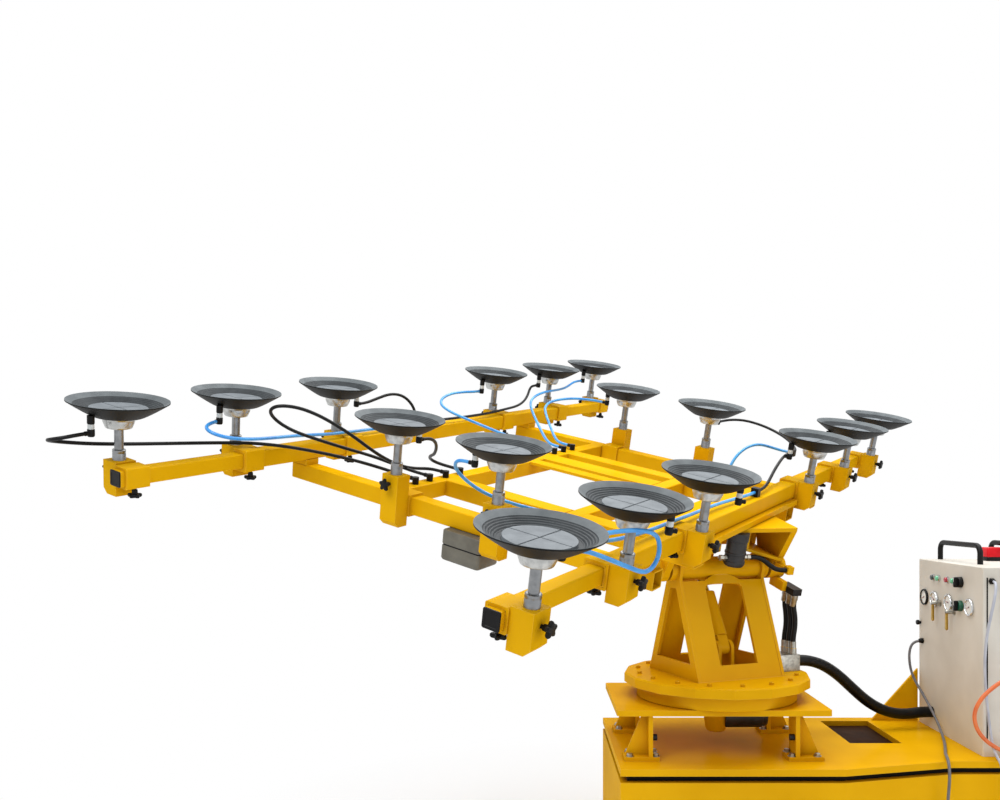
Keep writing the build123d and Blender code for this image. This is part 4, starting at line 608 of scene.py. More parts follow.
# The lip and pad copies of the rubber carry dust and painted sheen, and the underside copy painted shade.
cup_finishes = [rubber_lip_dust_and_painted_sheen, rubber_ribs, rubber_pad_dust_and_painted_sheen, rubber_under_painted_shade]
cup_finishes += [turned_aluminium, post_steel, black_nylon, clear_bowl]
for name, (x, y, turn) in CUPS.items():
    valve = [((grid + (VALVE_R, 0, 0)) @ turned(turn), finish) for grid, finish in valve_parts]
    patches = [(grid + (x, y, 0), finish) for grid, finish in dish + valve]
    places[name] = places["suction_frame"]
    shape(f"suction_{name}", patches, cup_finishes, name, [name])

# Hose fittings
# Push-in elbows, tees and a joining block in black nylon, screwed into the tubes.
coat(black_nylon, "hose_fittings")

# Vacuum hoses
# Smooth tubes of black rubber, with a soft line of light along them, and of bright, glossy blue
# polyurethane run from the cups to the fittings, hanging and lying where they like.
black_hose = surface("black_rubber_hose", "#060607", "#0e0e0e", 0.03, 0.002, 0.00008, 0.42, shine=0.22)
blue_hose = surface("blue_polyurethane_tube", "#3792e2", "#50abf0", 0.05, 0.004, 0.00004, 0.28)
HOSE_D = 0.012
ELBOW_X = -0.310
ELBOW_Z = -0.032
TEE_Z = 0.046


def outlet(cup, reach=0.0):
    """A point on the axis of a cup's valve, so far out from the end of its spigot."""
    x, y, turn = CUPS[cup]
    out = VALVE_R + SPIGOT + reach
    return (x + out * np.cos(np.radians(turn)), y + out * np.sin(np.radians(turn)), VALVE_Z)


def route(points, diameter):
    """A NURBS curve of order 3 with the route's points as its control points, ends included."""
    curve = bpy.data.curves.new("route", "CURVE")
    curve.dimensions = "3D"
    curve.bevel_depth = diameter / 2
    curve.bevel_resolution = 3
    curve.use_fill_caps = True
    curve.resolution_u = 6
    line = curve.splines.new("NURBS")
    line.points.add(len(points) - 1)
    line.points.foreach_set("co", np.c_[points, np.ones(len(points))].ravel())
    line.order_u = 3
    line.use_endpoint_u = True
    return curve


def tube(name, points, diameter, material, bodies, replaced=()):
    """A hose as a mesh read from its route's spline; with two bodies it stays in place, and with one it
    rides on that body.
    """
    points = np.asarray(points)
    bare = bpy.data.objects.new(name, route(points, 0))
    path = bpy.data.meshes.new_from_object(bare)
    line = np.empty(3 * len(path.vertices))
    path.vertices.foreach_get("co", line)
    full = bpy.data.objects.new(name, route(points, diameter))
    mesh = bpy.data.meshes.new_from_object(full)
    bpy.data.objects.remove(bare)
    bpy.data.objects.remove(full)
    mesh.materials.clear()
    mesh.materials.append(material)
    mesh.shade_smooth()
    piece = put(name, mesh)
    if len(bodies) == 2:
        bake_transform(piece)
    else:
        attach(piece, bodies[0])
    if replaced:
        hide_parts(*replaced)


# Each hose's colour, place and length, the bodies that it runs between, and points listed along it,
# in the suction frame's own axes.
HOSES = (
    ("black", "cup_01", 1.422, ("arm_far_left", "suction_frame"), (
        outlet("cup_01"), outlet("cup_01", 0.032), (-0.768, -1.640, 0.131), (-0.798, -1.660, 0.122),
        (-0.834, -1.652, 0.112), (-0.856, -1.620, 0.101), (-0.862, -1.570, 0.090), (-0.858, -1.500, 0.079),
        (-0.848, -1.400, 0.069), (-0.834, -1.290, 0.061), (-0.808, -1.180, 0.056), (-0.768, -1.085, 0.055),
        (-0.725, -0.995, 0.054), (-0.665, -0.895, 0.044), (-0.590, -0.805, 0.028), (-0.510, -0.720, 0.008),
        (-0.438, -0.655, -0.013), (-0.384, -0.620, -0.027), (-0.346, -0.610, ELBOW_Z),
        (ELBOW_X, -0.610, ELBOW_Z),
    )),
    ("black", "loop", 1.443, ("suction_frame",), (
        (ELBOW_X, -0.531, ELBOW_Z), (-0.342, -0.531, ELBOW_Z), (-0.374, -0.546, -0.026),
        (-0.412, -0.586, -0.008), (-0.458, -0.662, 0.024), (-0.508, -0.764, 0.057), (-0.562, -0.862, 0.092),
        (-0.601, -0.912, 0.113), (-0.631, -0.950, 0.140), (-0.633, -0.984, 0.170), (-0.611, -1.006, 0.195),
        (-0.580, -1.004, 0.212), (-0.549, -0.972, 0.214), (-0.516, -0.930, 0.203), (-0.468, -0.882, 0.176),
        (-0.411, -0.817, 0.126), (-0.362, -0.752, 0.068), (-0.368, -0.660, 0.022), (-0.382, -0.575, -0.010),
        (-0.386, -0.525, -0.024), (-0.383, -0.484, -0.031), (-0.369, -0.455, ELBOW_Z),
        (-0.342, -0.438, ELBOW_Z), (ELBOW_X, -0.438, ELBOW_Z),
    )),
    ("black", "cup_03", 0.343, ("cup_03", "suction_frame"), (
        outlet("cup_03"), outlet("cup_03", 0.032), (-0.782, -0.310, 0.150), (-0.768, -0.244, 0.170),
        (-0.752, -0.190, 0.165), (-0.735, -0.152, 0.138), (-0.718, -0.130, 0.095), (-0.718, -0.130, 0.062),
    )),
    ("black", "cup_04", 0.471, ("cup_04", "suction_frame"), (
        outlet("cup_04"), outlet("cup_04", 0.036), (-0.226, -0.588, 0.116), (-0.260, -0.538, 0.078),
        (-0.308, -0.490, 0.040), (-0.346, -0.463, 0.024), (-0.379, -0.429, 0.004), (-0.383, -0.397, -0.014),
        (-0.369, -0.368, -0.026), (-0.342, -0.351, ELBOW_Z), (ELBOW_X, -0.351, ELBOW_Z),
    )),
    ("black", "cup_07", 1.021, ("suction_frame", "cup_07"), (
        (-0.718, -0.116, TEE_Z), (-0.718, -0.070, TEE_Z), (-0.710, 0.010, 0.048), (-0.700, 0.120, 0.049),
        (-0.698, 0.250, 0.049), (-0.700, 0.390, 0.051), (-0.706, 0.520, 0.058), (-0.714, 0.620, 0.062),
        (-0.730, 0.700, 0.076), (-0.752, 0.762, 0.100), (-0.774, 0.806, 0.126), outlet("cup_07", 0.034),
        outlet("cup_07"),
    )),
    ("black", "cup_10", 0.657, ("cup_10", "suction_frame"), (
        outlet("cup_10"), outlet("cup_10", 0.036), (0.240, 1.006, 0.144), (0.292, 1.034, 0.148),
        (0.360, 1.030, 0.144), (0.430, 1.000, 0.138), (0.500, 0.950, 0.130), (0.560, 0.890, 0.122),
        (0.607, 0.822, 0.113), (0.640, 0.754, 0.107), (0.640, 0.714, 0.107),
    )),
    ("black", "near_beam", 0.573, ("suction_frame",), (
        (0.718, 0.124, TEE_Z), (0.718, 0.172, TEE_Z), (0.710, 0.240, 0.050), (0.692, 0.325, 0.060),
        (0.673, 0.412, 0.074), (0.657, 0.502, 0.090), (0.645, 0.580, 0.102), (0.640, 0.638, 0.107),
        (0.640, 0.686, 0.107),
    )),
    ("blue", "cup_02", 1.186, ("cup_02", "suction_frame"), (
        outlet("cup_02"), outlet("cup_02", 0.032), (-0.716, -1.184, 0.131), (-0.684, -1.197, 0.123),
        (-0.652, -1.182, 0.114), (-0.636, -1.148, 0.105), (-0.632, -1.100, 0.097), (-0.638, -1.030, 0.089),
        (-0.652, -0.945, 0.082), (-0.670, -0.850, 0.074), (-0.688, -0.750, 0.064), (-0.701, -0.650, 0.054),
        (-0.707, -0.550, 0.050), (-0.706, -0.450, 0.049), (-0.706, -0.330, 0.048), (-0.713, -0.250, 0.046),
        (-0.718, -0.190, TEE_Z), (-0.718, -0.144, TEE_Z),
    )),
    ("blue", "cup_06", 0.857, ("cup_06", "suction_frame"), (
        outlet("cup_06"), outlet("cup_06", 0.040), (-0.794, 0.290, 0.139), (-0.804, 0.210, 0.136),
        (-0.798, 0.136, 0.120), (-0.764, 0.090, 0.100), (-0.710, 0.088, 0.080), (-0.655, 0.120, 0.060),
        (-0.590, 0.165, 0.036), (-0.520, 0.215, 0.010), (-0.450, 0.265, -0.012), (-0.390, 0.304, -0.026),
        (-0.346, 0.320, ELBOW_Z), (ELBOW_X, 0.320, ELBOW_Z),
    )),
    ("blue", "cup_08", 1.151, ("arm_far_right", "suction_frame"), (
        outlet("cup_08"), outlet("cup_08", 0.042), (-0.776, 1.222, 0.133), (-0.752, 1.150, 0.127),
        (-0.730, 1.070, 0.121), (-0.718, 0.990, 0.119), (-0.710, 0.910, 0.120), (-0.706, 0.840, 0.118),
        (-0.704, 0.775, 0.110), (-0.694, 0.712, 0.094), (-0.664, 0.660, 0.074), (-0.615, 0.612, 0.052),
        (-0.560, 0.565, 0.028), (-0.500, 0.515, 0.004), (-0.440, 0.462, -0.016), (-0.388, 0.418, -0.027),
        (-0.346, 0.395, ELBOW_Z), (ELBOW_X, 0.395, ELBOW_Z),
    )),
    ("blue", "cup_09", 0.764, ("cup_09", "suction_frame"), (
        outlet("cup_09"), outlet("cup_09", 0.042), (-0.445, 0.806, 0.132), (-0.515, 0.816, 0.122),
        (-0.578, 0.806, 0.108), (-0.616, 0.764, 0.092), (-0.610, 0.708, 0.072), (-0.570, 0.660, 0.050),
        (-0.520, 0.612, 0.026), (-0.465, 0.560, 0.002), (-0.415, 0.512, -0.016), (-0.380, 0.482, -0.027),
        (-0.345, 0.470, ELBOW_Z), (ELBOW_X, 0.470, ELBOW_Z),
    )),
    ("blue", "cup_05", 0.496, ("cup_05", "suction_frame"), (
        outlet("cup_05"), outlet("cup_05", 0.034), (0.022, -0.788, 0.122), (0.006, -0.760, 0.090),
        (0.018, -0.718, 0.050), (0.048, -0.672, 0.014), (0.090, -0.625, -0.012), (0.140, -0.588, -0.026),
        (0.190, -0.566, ELBOW_Z), (0.228, -0.560, ELBOW_Z), (0.262, -0.560, ELBOW_Z),
    )),
    ("blue", "cup_16", 1.925, ("arm_near_left", "suction_frame"), (
        outlet("cup_16"), outlet("cup_16", 0.036), (0.798, -1.246, 0.130), (0.834, -1.202, 0.110),
        (0.866, -1.150, 0.086), (0.884, -1.104, 0.066), (0.887, -1.062, 0.068), (0.886, -1.031, 0.092),
        (0.882, -1.026, 0.126), (0.876, -1.044, 0.154), (0.862, -1.092, 0.170), (0.832, -1.150, 0.172),
        (0.794, -1.190, 0.160), (0.756, -1.188, 0.142), (0.726, -1.155, 0.120), (0.708, -1.100, 0.100),
        (0.700, -1.030, 0.082), (0.698, -0.930, 0.066), (0.698, -0.810, 0.055), (0.698, -0.680, 0.050),
        (0.698, -0.545, 0.050), (0.701, -0.405, 0.049), (0.698, -0.265, 0.048), (0.704, -0.130, 0.047),
        (0.713, -0.022, 0.046), (0.718, 0.042, TEE_Z), (0.718, 0.096, TEE_Z),
    )),
    ("blue", "near_rail", 0.428, ("suction_frame",), (
        (0.480, 0.430, -0.024), (0.480, 0.430, 0.014), (0.484, 0.440, 0.058), (0.494, 0.470, 0.097),
        (0.508, 0.514, 0.122), (0.521, 0.564, 0.131), (0.535, 0.614, 0.129), (0.552, 0.656, 0.120),
        (0.576, 0.688, 0.111), (0.598, 0.700, 0.107), (0.626, 0.700, 0.107),
    )),
)
hose_finishes = {"black": black_hose, "blue": blue_hose}
for colour, place, length, bodies, points in HOSES:
    name = f"hose_{colour}_{place}"
    line = stand(np.array(points), *places["suction_frame"])
    tube(name, line, HOSE_D, hose_finishes[colour], bodies, [f"hoses_{colour}"])

# Rotator motor
# A small hydraulic motor hangs under the front of the yoke, its cast body painted black, with
# plated unions at its two ports and a short hose to the cheek.
MOTOR_Y, MOTOR_PORT_Z = -0.102, 0.076
MOTOR_HOSE_D, MOTOR_HOSE_LENGTH = 0.018, 0.166
motor_side = (
    (0, YOKE_TOP), (0.039, YOKE_TOP), (0.039, 0.142), (0.036, 0.140), (0.036, 0.100), (0.038, 0.098),
    (0.038, 0.092), (0.036, 0.090), (0.036, 0.068), (0.038, 0.066), (0.038, 0.057), (0.033, 0.048),
    (0.012, 0.047), (0, 0.047),
)
union_side = (
    (0, 0.030), (0.0105, 0.030), (0.0105, 0.044), (0.0085, 0.045), (0.0085, 0.050), (0.0108, 0.0505),
    (0.0108, 0.063), (0.009, 0.064), (0, 0.064),
)
union = lathe(6, union_side)
motor_parts = [
    (lathe(40, motor_side) + (0, MOTOR_Y, 0), 0),
    (stand(union, (0, MOTOR_Y, MOTOR_PORT_Z), to_right), 1),
    (stand(union, (0, MOTOR_Y, MOTOR_PORT_Z), to_right * (-1, -1, 1)), 1),
]
motor_finishes = [black_casting, zinc_steel]
shape("rotator_motor_body", motor_parts, motor_finishes, "head", ["rotator_motor"])
motor_route = (
    (0.064, -0.102, 0.076), (0.096, -0.102, 0.076), (0.124, -0.111, 0.065), (0.150, -0.120, 0.045),
    (0.182, -0.124, 0.030), (0.216, -0.124, 0.030),
)
motor_line = stand(np.array(motor_route), *places["head"])
name = "hose_rotator_motor"
bodies = ("head",)
tube(name, motor_line, MOTOR_HOSE_D, black_hose, bodies)

# Hydraulic hoses
# Three wire-braided hoses climb from the block beside the tower to the yoke.
# Swaged steel ferrules hold their ends.
TILT = np.radians(16.65)
PORT_X = 0.284
PORT_Z = -0.070
PORT_RUN = 0.042
BLOCK_TOP = 0.060
HYDRAULIC_D = 0.020
ferrule_side = (
    (0, -0.002), (0.0130, -0.002), (0.0130, 0.020), (0.0115, 0.023), (0.0115, 0.044), (0.0108, 0.046),
    (0, 0.046),
)
ferrule = lathe(20, ferrule_side)
tower_ferrules, head_ferrules = [], []
for number, low_y, high_y, length in (
    (1, -0.080, -0.117, 0.202),
    (2, -0.054, -0.090, 0.210),
    (3, -0.028, -0.063, 0.218),
):
    top_y = high_y * np.cos(TILT) - PORT_Z * np.sin(TILT)
    top_z = HINGE_Z + high_y * np.sin(TILT) + PORT_Z * np.cos(TILT)
    hydraulic_route = (
        (PORT_X, low_y, 0.082),
        (PORT_X, low_y, 0.118),
        (0.293, low_y, 0.159),
        (0.293, low_y, 0.201),
        (PORT_X, top_y + PORT_RUN * np.sin(TILT), top_z - PORT_RUN * np.cos(TILT)),
        (PORT_X, top_y, top_z),
    )
    name = f"hose_hydraulic_{number}"
    line = stand(np.array(hydraulic_route), *places["tower"])
    bodies = ("tower", "head")
    tube(name, line, HYDRAULIC_D, black_hose, bodies, ["hydraulic_hoses"])
    tower_ferrules.append((ferrule + (PORT_X, low_y, BLOCK_TOP), 0))
    head_ferrules.append((ferrule * (1, 1, -1) + (PORT_X, high_y, PORT_Z), 0))
shape("tower_hose_ferrules", tower_ferrules, [zinc_steel], "tower")
shape("head_hose_ferrules", head_ferrules, [zinc_steel], "head")

# Slewing conduit
# A thick black rubber conduit carries the lines from the tower's block across to the cabinet.
CONDUIT_D, CONDUIT_LENGTH = 0.042, 0.678
conduit_start = stand(np.array((0.300, BLOCK_Y, 0.030)), *places["tower"])
conduit_next = stand(np.array((0.346, BLOCK_Y, 0.030)), *places["tower"])
conduit_route = (
    conduit_start, conduit_next, (0.392, 0.101, 0.840), (0.444, 0.120, 0.818), (0.501, 0.139, 0.778),
    (0.558, 0.156, 0.726), (0.616, 0.172, 0.676), (0.675, 0.186, 0.641), (0.734, 0.198, 0.622),
    (0.793, 0.208, 0.618), (0.844, 0.214, 0.625), (0.888, 0.214, 0.625),
)
name = "slewing_conduit_hose"
bodies = ("tower", "base")
replaced = ["slew_conduit"]
tube(name, conduit_route, CONDUIT_D, black_hose, bodies, replaced)

# Vacuum box
# The reservoir is a box in two halves, moulded in dull grey plastic and screwed over a dark seal.
grey_plastic = surface("grey_moulded_plastic", "#5c594f", "#6d6a5f", 0.05, 0.002, 0.0001, 0.5)
box_line = plate(0.160, 0.110, 0.010)
box_mid = (0.080, -0.741, 0)
box_top = ((0, -0.110), (0.97, -0.110), (1, -0.113), (1, -0.156), (0.985, -0.158), (0, -0.158))
box_seal = ((0, -0.157), (0.965, -0.157), (0.965, -0.164), (0, -0.164))
box_low = (
    (0, -0.163), (0.985, -0.163), (1, -0.165), (1, -0.207), (0.955, -0.213), (0.90, -0.215),
    (0, -0.215),
)
box_patches = []
for levels, finish in ((box_top, 0), (box_seal, 1), (box_low, 0)):
    box_patches.append((stack(box_line, levels) + box_mid, finish))
box_finishes = [grey_plastic, black_nylon]
shape("vacuum_reservoir", box_patches, box_finishes, "suction_frame", ["vacuum_box"])

# Control cabinet
# A folded sheet-steel cabinet stands on the deck; its panel carries the gauges, lamps, knobs and
# valve levers. Pale grey powder coat covers it, half matt with a fine orange-peel skin.
powder_coat = surface("grey_powder_coat", "#cdc8bd", "#d8d4ca", 0.18, 0.0022, 0.00012, 0.55)
coat(powder_coat, "cabinet_shell")
PANEL_X = 0.888
DECK_Z = 0.560
CABINET_Y = -0.192
CABINET_TOP = 1.215
panel_axes = np.array([[0, -1, 0], [0, 0, 1], [-1, 0, 0]])


def on_panel(grid, y, z):
    """Points that stand out of the panel at y along it and z above the deck."""
    return stand(grid, (PANEL_X, y, DECK_Z + z), panel_axes)


# Gauge dials: printed white card behind a clear, glossy window, with matt ink and a red pointer, in
# bright chromed rims. Lamp lenses are tinted plastic with a wet shine; the green ones are painted
# pale green as the painted glow of lit lamps.
dial_card = surface("printed_dial_card", "#d9dad3", "#e4e4de", 0.02, 0.002, 0.00001, 0.4, clear=1.0)
chrome_bezel = surface("bright_chrome_bezel", "#b6b8ba", "#cfd1d2", 0.01, 0.001, 0.00001, 0.14, metal=1.0)
ink = surface("black_dial_ink", "#101010", "#1a1a1a", 0.01, 0.001, 0.00001, 0.5)
red_ink = surface("red_pointer_paint", "#a01010", "#b81a14", 0.01, 0.001, 0.00001, 0.4)
dark_lens = surface("dark_lamp_lens", "#26302b", "#2d3832", 0.01, 0.002, 0.00002, 0.15, clear=0.6)
green_lens_painted_glow = surface("green_lamp_lens_painted_glow", "#5fb98c", "#74c79b", 0.01, 0.002, 0.00002, 0.15, clear=0.6)
red_lens = surface("red_lamp_lens", "#a00c26", "#b4122e", 0.01, 0.002, 0.00002, 0.15, clear=0.6)
case_side = (
    (0, 0), (0.0305, 0), (0.0315, 0.001), (0.0315, 0.0065), (0.0300, 0.009), (0.0265, 0.009),
    (0.0252, 0.007), (0.0252, 0.005), (0, 0.005),
)
dial_side = ((0, 0.0045), (0.0252, 0.0045), (0.0252, 0.0055), (0, 0.0055))
tick = stack(plate(0.0045, 0.0010, 0.0003, 2), ((0, 0), (1, 0), (1, 0.0003), (0, 0.0003)))
pointer_line = np.array(
    [(-0.006, 0.0012), (-0.006, -0.0012), (0.0, -0.0011), (0.019, -0.0003), (0.019, 0.0003), (0.0, 0.0011)]
)
pointer = stack(pointer_line, ((0, 0), (1, 0), (1, 0.0006), (0, 0.0006))) + (0, 0, 0.0060)
hub = lathe(12, ((0, 0.0057), (0.0028, 0.0057), (0.0028, 0.0069), (0, 0.0069)))
GAUGE_Z = 0.507
TICKS, FIRST_TICK, TICK_STEP = 11, 225, 27
TICK_SPOT = (0.0215, 0, 0.0055)
instruments = []
for y, bezel, reading in ((0.279, 1, 200), (0.188, 0, 150), (0.067, 0, 170), (-0.099, 0, 205)):
    gauge = [(lathe(40, case_side), bezel), (lathe(40, dial_side), 2)]
    for step in range(TICKS):
        gauge.append(((tick + TICK_SPOT) @ turned(FIRST_TICK - TICK_STEP * step), 3))
    gauge += [(pointer @ turned(reading), 4), (hub, 3)]
    instruments += [(on_panel(grid, y, GAUGE_Z), finish) for grid, finish in gauge]
LAMP_Z = 0.591
lamp_ring = (
    (0, 0), (0.013, 0), (0.013, 0.006), (0.0115, 0.0075), (0.0100, 0.0075), (0.0100, 0.005), (0, 0.005),
)
lamp_lens = (
    (0, 0.004), (0.0098, 0.004), (0.0098, 0.011), (0.0088, 0.014), (0.006, 0.0155), (0.003, 0.016),
    (0, 0.016),
)
for y, lens in ((0.197, 5), (0.153, 6), (0.076, 7), (0.026, 6)):
    instruments.append((on_panel(lathe(28, lamp_ring), y, LAMP_Z), 0))
    instruments.append((on_panel(lathe(28, lamp_lens), y, LAMP_Z), lens))
panel_finishes = [chrome_bezel, black_nylon, dial_card, ink, red_ink, dark_lens, green_lens_painted_glow, red_lens]
shape("gauges_and_lamps", instruments, panel_finishes, "base", ["panel_instruments"])

# Cabinet seam and glands
# The door closes on the folded shell over a dark rubber seal beside the front corner. Domed nylon
# glands hold the cables where they enter, and a small knob locks the back edge of the panel.
LOCK = (0.322, 0.401)
FRONT_GLAND = (0.300, 0.330)
SIDE_GLAND = (0.918, CABINET_Y, 1.168)
AIR_GLAND = (1.000, CABINET_Y, 0.870)
seam = plate(0.005, 0.560, 0.001) + (0.903, 0.900)
to_front = np.array([[1, 0, 0], [0, 0, 1], [0, -1, 0]])
gland_nut = lathe(6, ((0, 0), (0.0115, 0), (0.0115, 0.007), (0.0105, 0.008), (0, 0.008)))
dome_side = ((0, 0.007), (0.0092, 0.007), (0.0092, 0.012), (0.0082, 0.0155), (0.0062, 0.0175), (0, 0.0175))
gland_dome = lathe(20, dome_side)
lock_side = (
    (0, 0), (0.006, 0), (0.006, 0.006), (0.0095, 0.007), (0.0100, 0.014), (0.008, 0.017), (0, 0.0175),
)
closures = [(stand(prism(seam, 0, 0.0006), (0, CABINET_Y, 0), to_front), 0)]
closures.append((on_panel(lathe(20, lock_side), *LOCK), 1))
for grid in (gland_nut, gland_dome):
    closures.append((on_panel(grid, *FRONT_GLAND), 1))
    closures += [(stand(grid, gland, to_front), 1) for gland in (SIDE_GLAND, AIR_GLAND)]
shape("cabinet_seam_and_glands", closures, [black_seal_and_painted_shade, black_nylon], "base")

# Panel knobs and levers
# Two moulded turning knobs with a bar grip and a white pointer line, one of them in deep green
# nylon, and two levers of lacquered brass, which give small warm glints below the gauges.
green_nylon = surface("moulded_green_nylon", "#0b4a34", "#11573f", 0.02, 0.0012, 0.00005, 0.4)
skirt_side = ((0, 0.0004), (0.0198, 0.0004), (0.0200, 0.002), (0.0190, 0.012), (0.0175, 0.0144), (0, 0.0144))
knob_skirt = lathe(36, skirt_side)
bar_side = ((0, 0.014), (1, 0.014), (0.99, 0.024), (0.94, 0.0275), (0.8, 0.0284), (0, 0.0284))
knob_bar = stack(plate(0.038, 0.012, 0.005), bar_side) @ turned(90)
line_side = ((0, 0.0280), (1, 0.0280), (1, 0.0288), (0, 0.0288))
knob_line = stack(plate(0.0024, 0.016, 0.001, 2), line_side) + (0, 0.009, 0)
for name, y, z, skirt in (("selector_knob", -0.030, 0.591, 0), ("regulator_knob", -0.030, 0.505, 1)):
    parts = ((knob_skirt, skirt), (knob_bar, 0), (knob_line, 2))
    grip = [(on_panel(grid, y, z), finish) for grid, finish in parts]
    shape(f"{name}_moulding", grip, [black_nylon, green_nylon, dial_card], name, [name])

brass = surface("lacquered_brass", "#a8842f", "#bd9740", 0.01, 0.001, 0.00003, 0.3, metal=1.0)
pivot_side = (
    (0, 0.0004), (0.0128, 0.0004), (0.013, 0.004), (0.0085, 0.006), (0.0085, 0.030), (0.007, 0.0324),
    (0, 0.0324),
)
lever_hub = lathe(28, pivot_side)
lever_tip = arc(0.0065, -np.pi / 2, np.pi / 2, 12) + (0.062, 0)
lever_line = np.concatenate([lever_tip, [(0.0, 0.0050), (0.0, -0.0050)]]) - (0.034, 0)
lever_side = ((0, 0.0254), (0.97, 0.0254), (1, 0.0264), (1, 0.0308), (0.96, 0.0324), (0, 0.0324))
lever_bar = (stack(lever_line, lever_side) + (0.034, 0, 0)) @ turned(-90)
for name, y, z in (("valve_lever_left", 0.144, 0.497), ("valve_lever_right", 0.026, 0.477)):
    lever = [(on_panel(lever_hub, y, z), 1), (on_panel(lever_bar, y, z), 0)]
    shape(f"{name}_handle", lever, [brass, zinc_steel], name, [name])

# Roof fittings
# Two bent steel carrying handles in black plastic sleeving, and an isolator block on a black base,
# moulded in a strong signal red with little shine.
red_plastic = surface("red_moulded_plastic", "#cf0f1c", "#dc1724", 0.03, 0.0015, 0.00005, 0.4, shine=0.2)
HANDLE_X = (0.962, 1.164)
ISOLATOR = (1.131, 0.225, CABINET_TOP)
arch_bend = arc(0.030, 0, np.pi / 2, 8) * (-1, 1) + (0.010, 0.038)
arch_rise = np.concatenate([[(-0.020, 0.0)], arch_bend])
arch_line = np.concatenate([arch_rise, (arch_rise * (-1, 1) + (0.290, 0))[::-1]])
arch_run = np.gradient(arch_line, axis=0)
arch_run /= np.linalg.norm(arch_run, axis=1)[:, None]
arch_out = np.stack([-arch_run[:, 1], arch_run[:, 0]], -1)
grip_ring = circle(16, 0.010)
roof_parts = []
for x in HANDLE_X:
    handle = np.empty((len(arch_line), len(grip_ring), 3))
    handle[..., 0] = x + grip_ring[:, 0]
    handle[..., 1:] = (arch_line + (0, CABINET_TOP))[:, None] + grip_ring[:, 1, None] * arch_out[:, None]
    roof_parts.append((handle, 0))
isolator_base = ((0, 0), (1, 0), (1, 0.014), (0.97, 0.016), (0, 0.016))
isolator_cap = ((0, 0.015), (0.97, 0.015), (0.98, 0.018), (0.96, 0.046), (0.90, 0.051), (0, 0.052))
for levels, finish in ((isolator_base, 0), (isolator_cap, 1)):
    roof_parts.append((stack(plate(0.088, 0.090, 0.008), levels) + ISOLATOR, finish))
roof_finishes = [black_nylon, red_plastic]
roof_nodes = ["cabinet_roof_fittings"]
shape("roof_handles_and_isolator", roof_parts, roof_finishes, "base", roof_nodes)

# Cabinet leads
# Two pale PVC cables drop over the edge of the deck to glands on the chassis, the front one painted
# grey as painted shade, and an air hose of bright orange polyurethane loops from the cabinet's side
# to a socket on the deck.
pale_cable = surface("pale_pvc_cable", "#a9adba", "#bcc0ca", 0.05, 0.003, 0.00004, 0.45)
cable_painted_shade = surface("pale_pvc_cable_painted_shade", "#5d5c60", "#6d6c70", 0.05, 0.003, 0.00004, 0.45)
orange_hose = surface("orange_polyurethane_hose", "#d2622b", "#e0743a", 0.05, 0.003, 0.00004, 0.32)
front_route = (
    (0.888, 0.300, 0.890), (0.862, 0.300, 0.890), (0.838, 0.298, 0.872), (0.828, 0.292, 0.828),
    (0.831, 0.278, 0.770), (0.842, 0.250, 0.728), (0.850, 0.205, 0.692), (0.856, 0.150, 0.650),
    (0.855, 0.090, 0.612), (0.843, 0.025, 0.584), (0.822, -0.042, 0.571), (0.795, -0.108, 0.568),
    (0.768, -0.170, 0.570), (0.748, -0.215, 0.575), (0.736, -0.252, 0.578), (0.727, -0.288, 0.564),
    (0.722, -0.306, 0.528), (0.720, -0.304, 0.482), (0.720, -0.295, 0.430), (0.720, -0.287, 0.375),
    (0.720, -0.283, 0.318), (0.720, -0.283, 0.262),
)
side_route = (
    (0.918, -0.192, 1.168), (0.918, -0.214, 1.168), (0.912, -0.235, 1.160), (0.905, -0.247, 1.138),
    (0.898, -0.250, 1.104), (0.890, -0.243, 1.052), (0.884, -0.229, 0.988), (0.882, -0.218, 0.915),
    (0.884, -0.214, 0.840), (0.890, -0.213, 0.765), (0.897, -0.214, 0.692), (0.903, -0.219, 0.632),
    (0.906, -0.231, 0.594), (0.907, -0.252, 0.576), (0.908, -0.278, 0.560), (0.908, -0.292, 0.524),
    (0.908, -0.291, 0.470), (0.908, -0.284, 0.415), (0.908, -0.279, 0.360), (0.908, -0.277, 0.308),
    (0.908, -0.277, 0.262),
)
air_route = (
    (1.000, -0.192, 0.870), (1.000, -0.222, 0.870), (0.985, -0.252, 0.868), (0.957, -0.268, 0.858),
    (0.920, -0.272, 0.840), (0.880, -0.270, 0.812), (0.845, -0.266, 0.776), (0.824, -0.260, 0.728),
    (0.832, -0.256, 0.678), (0.862, -0.250, 0.636), (0.910, -0.240, 0.602), (0.966, -0.231, 0.577),
    (1.010, -0.231, 0.577),
)
for name, points, diameter, length, material in (
    ("cable_front", front_route, 0.010, 1.123, cable_painted_shade),
    ("cable_side", side_route, 0.010, 0.978, pale_cable),
    ("air_hose_orange", air_route, 0.014, 0.553, orange_hose),
):
    tube(name, points, diameter, material, ("base",), ["panel_leads"])


# Floor, light and camera
# A pale floor that fades to white, soft light from above and the left, and the photograph's view.
def seen(owner):
    """1 for rays from the eye, straight or by way of a mirror or glass, and 0 for scattered light."""
    ray = add(owner, "LightPath")
    total = ray.outputs["Is Camera Ray"]
    for kind in ("Is Glossy Ray", "Is Transmission Ray"):
        both_rays = {0: total, 1: ray.outputs[kind]}
        total = add(owner, "Math", both_rays, {"operation": "ADD", "use_clamp": True}).outputs[0]
    return total


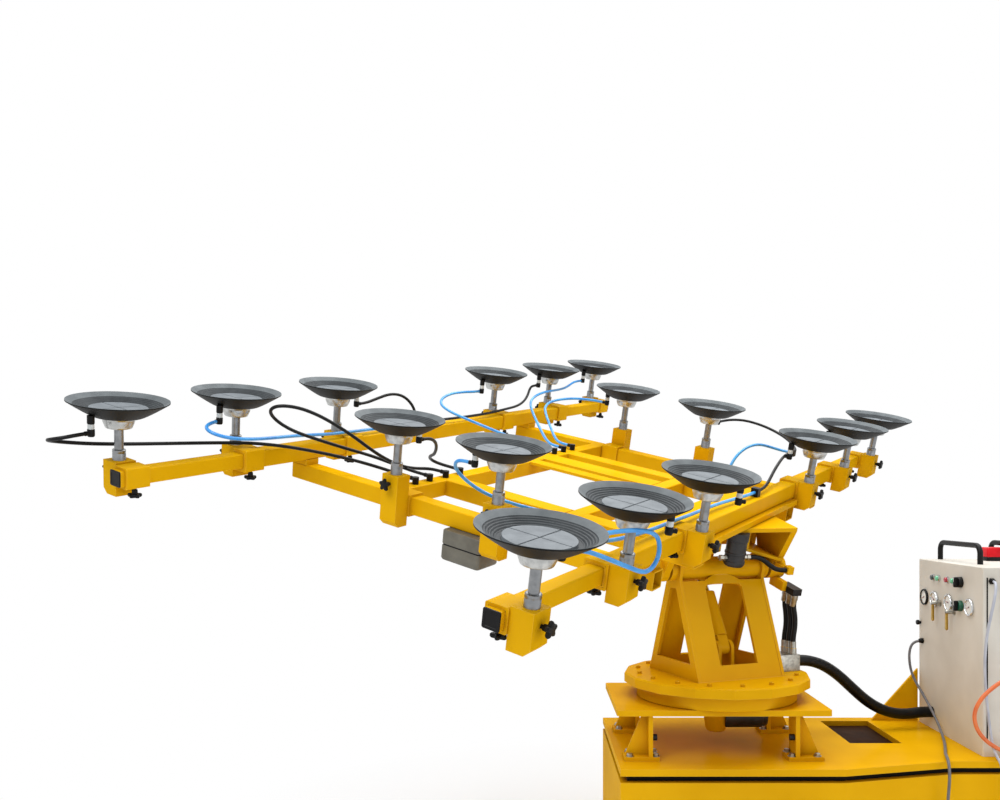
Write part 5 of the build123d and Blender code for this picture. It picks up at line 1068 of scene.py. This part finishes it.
FLOOR_R, FLOOR_STEPS = 40.0, 64
FADE_START, FADE_END = 1.0, 2.4
AMBIENT = 0.45
floor_paint = bpy.data.materials.new("pale_floor")
floor_paint.use_nodes = True
floor_paint.node_tree.nodes.clear()
spot = add(floor_paint, "TexCoord").outputs["Object"]
reach = add(floor_paint, "VectorMath", {0: spot}, {"operation": "LENGTH"})
fade_ends = {"From Min": FADE_START, "From Max": FADE_END}
fade = add(floor_paint, "MapRange", {"Value": reach.outputs["Value"], **fade_ends})
faded = {0: seen(floor_paint), 1: fade.outputs["Result"]}
share = add(floor_paint, "Math", faded, {"operation": "MULTIPLY"})
dull = add(floor_paint, "BsdfDiffuse", {"Color": linear("#f2f2f2")})
white = add(floor_paint, "Emission", {"Color": (1, 1, 1, 1), "Strength": 1.0})
both = add(floor_paint, "MixShader", {0: share.outputs[0], 1: dull.outputs[0], 2: white.outputs[0]})
add(floor_paint, "OutputMaterial", {"Surface": both.outputs[0]})
floor_mesh = bpy.data.meshes.new("floor")
floor_points = np.c_[circle(FLOOR_STEPS, FLOOR_R), np.zeros(FLOOR_STEPS)]
floor_mesh.from_pydata(floor_points.tolist(), [], [list(range(FLOOR_STEPS))])
floor_mesh.materials.append(floor_paint)
floor = put("floor", floor_mesh)

world = bpy.data.worlds.new("soft_studio")
world.use_nodes = True
bpy.context.scene.world = world
world.node_tree.nodes.clear()
ambient = add(world, "Background", {"Color": (1, 1, 1, 1), "Strength": AMBIENT})
backdrop = add(world, "Background", {"Color": (1, 1, 1, 1), "Strength": 1.0})
sky = add(world, "MixShader", {0: seen(world), 1: ambient.outputs[0], 2: backdrop.outputs[0]})
add(world, "OutputWorld", {"Surface": sky.outputs[0]})

for name, place, target, size, power in (
    ("key", (-2.6, -3.2, 4.6), (0.0, 0.0, 1.0), 2.5, 120),
    ("top", (0.6, 0.8, 5.2), (0.2, 0.0, 1.0), 4.5, 240),
    ("fill", (3.6, -3.0, 2.6), (0.3, 0.0, 1.0), 2.5, 32),
):
    lamp = bpy.data.lights.new(name, "AREA")
    lamp.size = size
    lamp.energy = power
    light = put(name, lamp)
    light.location = place
    x, y, z = np.array(place) - np.array(target)
    light.rotation_euler = (np.arctan2(np.hypot(x, y), z), 0, np.arctan2(x, -y))

view = bpy.data.cameras.new("view")
view.lens = 33.44
view.sensor_width = 36
view.shift_x = -0.031
view.shift_y = 0.105
camera = put("view", view)
camera.location = (-0.678, -3.411, 1.432)
camera.rotation_euler = (np.pi / 2, 0, 0)
bpy.context.scene.camera = camera
bpy.context.scene.view_settings.view_transform = "Standard"
